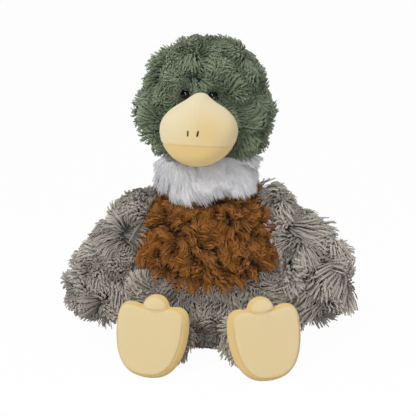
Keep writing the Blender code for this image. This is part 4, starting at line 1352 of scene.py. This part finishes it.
class DUCK_OT_body(Operator):
    """Makes the torso's skin, its brown chest pile and the grey pile of the torso and the tail"""

    bl_idname = "duck.body"
    bl_label = "Body"

    def execute(self, context):
        grey = duck(context).body
        brown = duck(context).chest
        # painted shade: the backing takes the grey and brown root colours darkened further, so gaps in the
        # pile look dark
        backing = backing_material("grey_backing", np.array(grey.root) * 0.4, np.array(brown.root) * 0.6)
        raised = [(SHOULDER_TOP, 0.026, 0.006), (SHOULDER_TOP * (-1, 1, 1), 0.022, 0.006)]
        torso = skin("torso_skin", ["body_cover", "chest_panel"], *SKINS["torso"], backing, raised)
        seat = points_of(torso.data)
        seat[:, 2] = np.where(seat[:, 2] < 0.016, np.maximum(0.0, (seat[:, 2] - 0.0085) * 2.1), seat[:, 2])
        set_points(torso.data, seat)
        write(torso.data, "panel", [in_chest(Vector(point)) for point in seat])
        pile = pile_material("grey_pile", grey.root, grey.tip, 0.12, 0.22)
        brown_pile = pile_material("brown_pile", brown.root, brown.tip, 0.04, 0.45)

        def swirl(points, normals, comb):
            down = along_surface(np.tile((0.0, 0.0, -1.0), (len(points), 1)), normals)
            near = smoothstep(0.018, 0.004, chest_distance(points))[:, None]
            away = along_surface(points - CHEST_MIDDLE, normals)
            free = 0.15 * comb + 0.95 * flow(points, normals, 0.032, 8) + 0.25 * down
            return free * (1 - 0.6 * near) + away * 0.6 * near

        def fuller_edge(points, normals):
            return 1 + 0.10 * smoothstep(0.014, 0.004, chest_distance(points))

        groomed(torso, brown.whorl, 11, pull=swirl, growth=fuller_edge)
        parts = [("chest_pile", brown.strands, in_chest)]
        chest, = covered(torso, parts, brown, brown_pile, 80, **{"Curl turns": 1.8, "Frizz": 0.0006})

        def parted(points, normals, comb):
            away = along_surface(points - CHEST_MIDDLE, normals)
            near = smoothstep(0.022, 0.010, chest_distance(points))[:, None]
            near = near * smoothstep(0.140, 0.120, points[:, 2:])
            risen = hump(lengths(points - NECK_SIDE), 0, 0.022)
            inwards = laid((-0.6, 0.0, 0.8), normals)
            return (comb * (1 - near) + away * near) * (1 - 0.8 * risen) + inwards * 0.45 * risen

        def clipped(points, normals):
            x, y, z = points.T
            front = smoothstep(-0.01, -0.04, y)
            flank = smoothstep(0.4, 0.8, np.abs(normals[:, 0])) * smoothstep(0.080, 0.060, z)
            value = 0.25 + 0.75 * np.maximum(front, smoothstep(-0.9, -0.2, normals[:, 2])) + 1.1 * flank
            low = smoothstep(0.130, 0.110, z)
            value *= 1 - 0.55 * low * smoothstep(0.014, 0.004, chest_distance(points))
            value *= 1 + 0.9 * hump(far_from(points, SHOULDER_TOP), 0, 0.022)
            value *= 1 + 0.5 * hump(far_from(points, NECK_SIDE), 0, 0.018)
            # shorter pile between the legs, also drawn darker by the pile's map: painted shade under the
            # belly
            hollow = smoothstep(0.040, 0.026, z) * smoothstep(0.026, 0.012, np.abs(x + 0.003))
            return value * (1 - 0.40 * hollow)

        groomed(torso, grey.whorl, 12, pull=parted, growth=clipped)
        half = grey.strands / 2
        parts = (
            ("belly_pile", half, lambda p: p.y < 0.0 and not in_chest(p) and p.z > 0.002),
            ("back_pile", half, lambda p: p.y >= 0.0 and p.z > 0.006),
        )
        pieces = covered(torso, parts, grey, pile, 90)

        def pull(points, normals, comb):
            back = along_surface(np.tile((0.0, 1.0, 0.25), (len(points), 1)), normals)
            return comb * 0.4 + back * 0.8

        tail = skin("tail_skin", ["tail_cover"], *SKINS["tail"], backing)
        groomed(tail, LIMB_WHORL, 13, pull=pull)
        parts = [("tail_pile", TAIL_STRANDS, lambda p: True)]
        pieces += covered(tail, parts, grey, pile, 95, Length=TAIL_PILE_LENGTH)

        hand_over(chest, "torso")
        for piece in pieces:
            hand_over(piece, "torso")
        replaced = ("body_cover", "chest_panel", "body_stuffing", "grain_pouch")
        hand_over(torso, "torso", replaced)
        hand_over(tail, "torso", ("tail_cover", "tail_stuffing"))
        return {"FINISHED"}


class DUCK_OT_wings(Operator):
    """Makes the wings' skins and their long grey pile, which bends at the shoulders"""

    bl_idname = "duck.wings"
    bl_label = "Wings"

    def execute(self, context):
        settings = duck(context).wing
        pile = pile_material("wing_pile", settings.root, settings.tip, 0.12, 0.20)
        backing = bpy.data.materials["grey_backing"]
        for number, (tag, side) in enumerate(SIDES):
            wing = f"wing_{tag}"
            raised = [((side * 0.068, -0.012, 0.148), 0.026, 0.004)]
            made = skin(f"{wing}_skin", [f"{wing}_cover"], *SKINS["wing"], backing, raised)

            def pull(points, normals, comb):
                down = laid((side * 0.5, 0.0, -0.86), normals)
                high = smoothstep(0.130, 0.152, points[:, 2:])
                return comb * (0.85 - 0.55 * high) + down * (0.35 + 0.15 * high)

            def growth(points, normals):
                y, z = points[:, 1], points[:, 2]
                facing = side * normals[:, 0]
                inner = smoothstep(-0.1, -0.6, facing)
                low = smoothstep(0.060, 0.035, z)
                high = smoothstep(0.135, 0.150, z)
                # shorter pile in the crease where the wing meets the body, also drawn darker by the pile's
                # map: partly painted shade
                crease = hump(facing, -0.35, 0.25) * (y < -0.01) * (1 - low) * (1 - high)
                tucked = smoothstep(0.090, 0.065, z) * inner
                under = smoothstep(-0.5, -0.9, normals[:, 2])
                upper = hump(z, 0.122, 0.020)
                if side > 0:
                    fuller = 1 + 0.72 * hump(z, 0.076, 0.028) + 0.60 * upper
                    value = fuller * (1 - 0.35 * high) * (1 - 0.35 * under)
                else:
                    value = (1 + 0.25 * upper) * (1 - 0.35 * high) * (1 - 0.15 * low * (1 - inner))
                return value * (1 + 0.9 * tucked) * (1 - 0.45 * crease)

            partings = [(side * x, y, z) for x, y, z in WING_PARTINGS]
            groomed(made, settings.whorl, 20 + number, partings, pull, growth)
            half = settings.strands / 2
            parts = (
                (f"{wing}_pile_front", half, lambda p: p.y < 0.0),
                (f"{wing}_pile_back", half, lambda p: p.y >= 0.0),
            )
            pieces = covered(made, parts, settings, pile, 100 + 4 * number)
            shoulder = Vector((side * 0.0576, -0.0020, 0.1570))
            way = Vector((side * 0.5, 0, -0.86))
            bend = ("torso", wing, shoulder - way * 0.004, shoulder + way * 0.030)
            for piece in pieces:
                hand_over(piece, bend)
            hand_over(made, bend, (f"{wing}_cover", f"{wing}_stuffing"))
        return {"FINISHED"}


class DUCK_OT_legs(Operator):
    """Makes the legs' skins and their grey pile, which bends at the hips"""

    bl_idname = "duck.legs"
    bl_label = "Legs"

    def execute(self, context):
        settings = duck(context).body
        pile = bpy.data.materials["grey_pile"]
        backing = bpy.data.materials["grey_backing"]
        more = {"Length": 0.0150, "Depth": 0.0150, "Tuft spacing": 0.0095, "Stray": 0.3, "Lean": 0.8}
        for number, (tag, side) in enumerate(SIDES):
            leg = f"leg_{tag}"
            made = skin(f"{leg}_skin", [f"{leg}_cover"], *SKINS["leg"], backing)

            def pull(points, normals, comb):
                return comb * 0.5 + laid((side * -0.2, -0.5, -1.0), normals) * 0.5

            def growth(points, normals):
                inner = smoothstep(0.1, 0.7, -side * normals[:, 0])
                ankle = smoothstep(-0.106, -0.120, points[:, 1])
                return (1 + (0.6 if side > 0 else 0.2) * inner) * (1 - 0.5 * ankle)

            groomed(made, LIMB_WHORL, 30 + number, pull=pull, growth=growth)
            parts = [(f"{leg}_pile", LEG_STRANDS, lambda p: p.z > 0.004)]
            piece, = covered(made, parts, settings, pile, 120 + number, **more)
            hip = Vector((side * 0.0360, -0.0650, 0.0300))
            bend = ("torso", leg, hip + Vector((0, 0.010, 0)), hip - Vector((0, 0.014, 0)))
            hand_over(piece, bend)
            hand_over(made, bend, (f"{leg}_cover", f"{leg}_stuffing"))
        return {"FINISHED"}


class DUCK_PT_panel(Panel):
    """Lists the pieces of the duck and the sizes and colours that they take"""

    bl_idname = "DUCK_PT_panel"
    bl_label = "Plush Duck"
    bl_space_type = "VIEW_3D"
    bl_region_type = "UI"
    bl_category = "Plush Duck"

    def draw(self, context):
        for operator in STEPS:
            self.layout.operator(operator.bl_idname)
        settings = duck(context)
        for group in ("head", "chest", "body", "wing", "ruff", "velour", "eyes", "stage"):
            box = self.layout.box()
            box.label(text=settings.bl_rna.properties[group].name)
            own = getattr(settings, group)
            for key in own.bl_rna.properties.keys():
                if key not in ("rna_type", "name"):
                    box.prop(own, key)


STEPS = (
    DUCK_OT_stage, DUCK_OT_bill, DUCK_OT_feet, DUCK_OT_eyes, DUCK_OT_nostrils, DUCK_OT_head, DUCK_OT_ruff,
    DUCK_OT_body, DUCK_OT_wings, DUCK_OT_legs,
)
CLASSES = (
    HeadPile, ChestPile, BodyPile, WingPile, RuffPile, VelourSettings, EyeSettings, StageSettings,
    DuckSettings, *STEPS, DUCK_PT_panel,
)


def register():
    for each in CLASSES:
        bpy.utils.register_class(each)
    bpy.types.Scene.duck_settings = PointerProperty(
        type=DuckSettings, name="Plush duck", description="Sizes and colours of the plush duck"
    )


def unregister():
    del bpy.types.Scene.duck_settings
    for each in reversed(CLASSES):
        bpy.utils.unregister_class(each)


def main():
    register()
    for operator in STEPS:
        group, name = operator.bl_idname.split(".")
        getattr(getattr(bpy.ops, group), name)()


if __name__ == "__main__":
    main()
